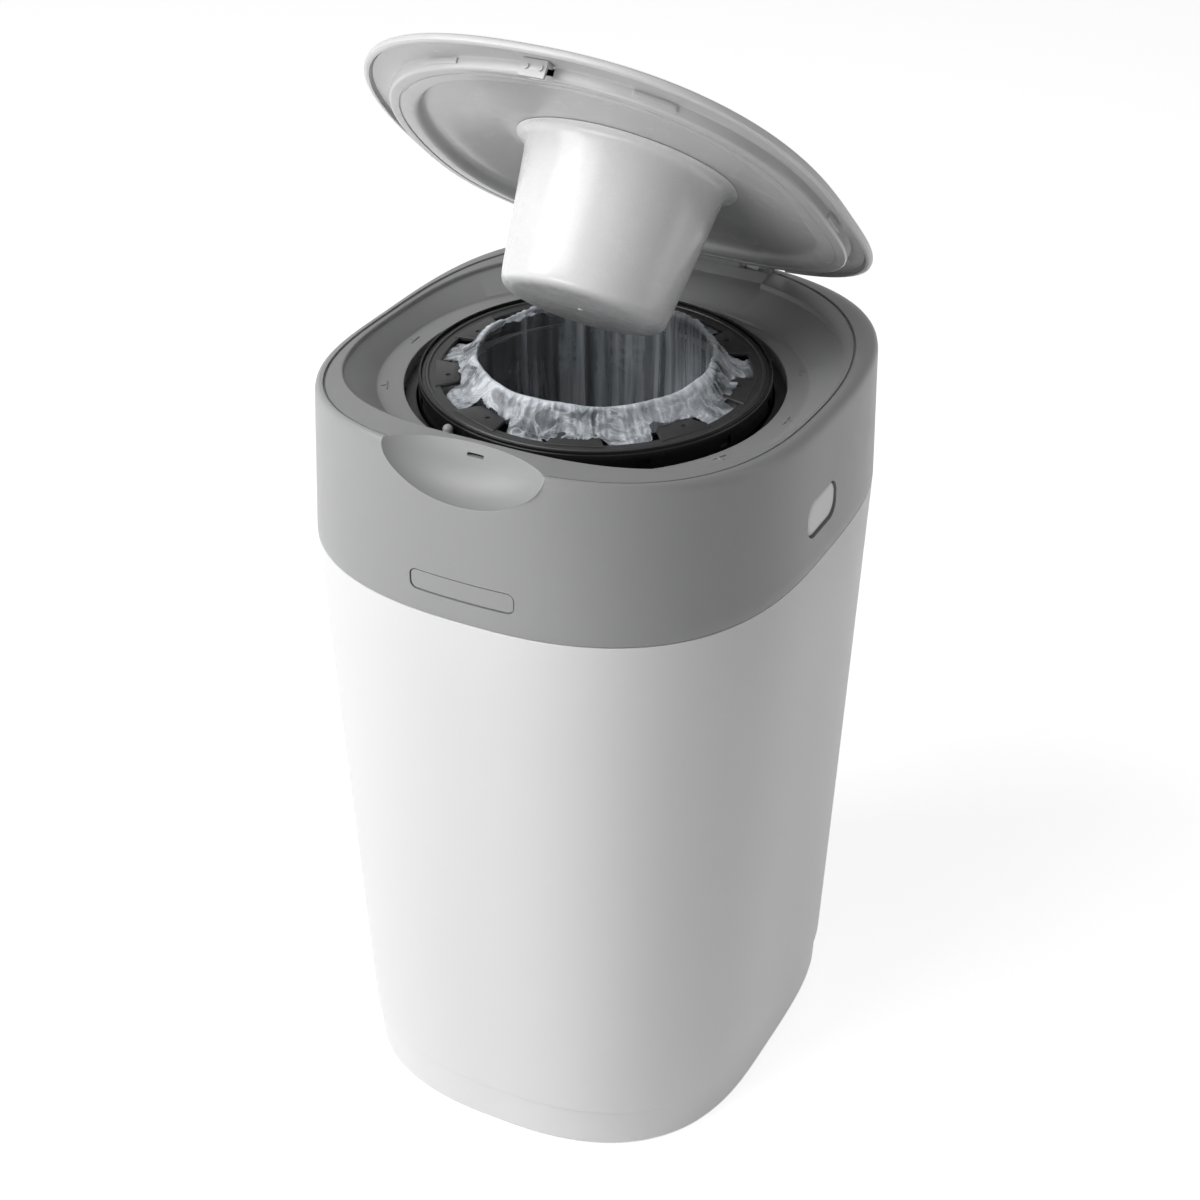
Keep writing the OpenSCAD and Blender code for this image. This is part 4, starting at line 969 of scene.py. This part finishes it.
# ------------------------------ front catch
# The springy plastic tongue that holds the lid shut. It is set in the gap of
# the liner and has two small bumps moulded on its face.
catch_top = latch_level + FLANGE_LOW - 0.3
catch = piece("front_catch_tongue", *block(
    (-6.5, catch_front, catch_top - 8.4), (6.5, catch_front + 1.6, catch_top)), liner_grey,
              matrix=opened)
bumps = [prism(circle(1.4, 32, (side * 3.6, catch_top - 3.9)), 1, catch_front - 0.8, catch_front + 0.8)
         for side in (-1, 1)]
for name, shape in (("catch_arm", block((-6.5, catch_front + 1, catch_top - 1.6),
                                        (6.5, catch_front + 6.4, catch_top))),
                    ("catch_bumps", gathered(bumps))):
    worked(catch, piece(name, *shape, matrix=opened), "UNION")
bevelled(catch, 0.2)
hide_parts("front_catch")
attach(catch, "lid")

# ------------------------------ plunger cup and dial
# A smooth white cup under the lid that presses the nappy down, with a turning
# flange. Its hub passes up through the liner and carries the hand dial.
CUP_ROOT, CUP_TIP, CUP_BOTTOM, CUP_WALL, FLANGE = 50.6, 43.2, 349.0, 2.4, 57.0
seat, hub, hub_top = PAN_HEIGHT - 0.3, PAN_HOLE - 0.6, PAN_HEIGHT + LINER_WALL + 3.3
bed = CUP_BOTTOM + CUP_WALL
plunger_white = moulded("plunger_white", 0.80, rough=0.27, grain=0.04, flow=0.006, coat=0.15)
cup = turned("plunger_cup_turned", eased([
    (0, CUP_BOTTOM, 0), (3.5, CUP_BOTTOM, 0), (12, CUP_BOTTOM, 0), (24, CUP_BOTTOM, 0),
    (CUP_TIP - 5.5, CUP_BOTTOM, 4), (CUP_TIP - 1.3, bed, 4), (CUP_TIP, CUP_BOTTOM + 9, 4),
    (CUP_ROOT - 0.2, seat - 8, 6), (CUP_ROOT + 1, seat - 3, 4), (CUP_ROOT + 3.6, seat - 1, 2),
    (FLANGE - 0.3, seat - 0.4, 0.4), (FLANGE, seat, 0.1), (hub, seat, 0.2), (hub, hub_top, 0.3),
    (hub - CUP_WALL, hub_top, 0.3), (hub - CUP_WALL, seat, 0.5), (CUP_ROOT - CUP_WALL, seat - 6, 1),
    (CUP_TIP - CUP_WALL, CUP_BOTTOM + 9, 2), (CUP_TIP - 5, bed + 1.2, 3), (CUP_TIP - 9, bed, 2),
    (0, bed, 0)], False, 8), plunger_white, matrix=opened, columns=256)
worked(cup, turned("plunger_gate", [(radius, CUP_BOTTOM + lift) for radius, lift in (
    (0, -0.4), (1.3, -0.4), (1.6, -0.2), (1.6, 0.6), (0, 0.6))], matrix=opened, columns=32), "UNION")
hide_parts("plunger_cup")
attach(cup, "plunger")

collar, dish_floor = hub - CUP_WALL - 0.3, LID_TOP - 28
dish, dish_under, skirt_in = collar - 5, dish_floor - 2.2, DIAL_RADIUS - 2.2
dial = turned("grip_dial_dish", eased([
    (0, dish_under, 0), (dish - 6, dish_under, 3), (dish - 2, dish_floor + 2, 3),
    (collar - 1.5, PAN_HEIGHT, 1), (collar, PAN_HEIGHT + 1, 0.5), (collar, LID_TOP - 2.2, 0.3),
    (skirt_in, LID_TOP - 2.2, 0.3), (skirt_in, hub_top + 1, 0.3), (DIAL_RADIUS, hub_top + 1, 0.3),
    (DIAL_RADIUS, LID_TOP, 0.9), (dish, LID_TOP, 2.0), (dish - 4, dish_floor + 2, 3),
    (dish - 7, dish_floor, 3), (0, dish_floor, 0)], False, 7), plunger_white, matrix=opened, columns=256)
# The grip bar's sides bow outwards to its ends, where they meet the dish.
BAR_HALF, BAR_BOW, bar_root, bar_top = 6.5, 110.0, dish_floor - 0.5, LID_TOP - 1.5
bar_rows = []
for x in np.linspace(2.2 - dish, dish - 2.2, 61):
    half = min(BAR_HALF + BAR_BOW - sqrt(BAR_BOW ** 2 - x ** 2), 14.0, sqrt((dish - 1) ** 2 - x ** 2))
    bar_rows.append([(x, y, z) for y, z in eased([(-half - 0.9, bar_root, 0), (-half, bar_top, 2.4),
                                                  (half, bar_top, 2.4), (half + 0.9, bar_root, 0)])])
bar = piece("grip_bar", bar_rows, grid_faces(len(bar_rows), len(bar_rows[0]), False), matrix=opened)
worked(dial, bar, "UNION")
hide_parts("grip_dial")
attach(dial, "plunger")

# ------------------------------ small steel and inner parts
# Plain steel pins, the cutter's point, the ring that holds the plunger up and
# its leaf springs, and the moulded ring of click teeth. They keep their solids.
steel, shader, wire = new_finish("plain_steel")
drawn = wire.add("Mapping", {"Vector": wire.add("TexCoord", out=3), "Scale": (40.0, 900.0, 900.0)})
brushed = drawn.mottled(3.0, 4.0)
wire.feed(shader, {
    "Base Color": brushed.blend(grey(0.52), grey(0.62)), "Metallic": 1.0,
    "Roughness": 0.24 + brushed * 0.16,
    "Normal": wire.add("Bump", {"Strength": 0.15, "Distance": 0.00005, "Height": brushed})})
inner_white = moulded("inner_white", 0.72, rough=0.4, grain=0.1)
for name in ("cutter_blade", "hinge_pin_left", "hinge_pin_right", "retaining_ring", "click_springs",
             "ratchet_ring"):
    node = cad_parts[name]
    if not node.material_slots:
        node.data.materials.append(None)
    for place in node.material_slots:
        place.material = inner_white if name == "ratchet_ring" else steel
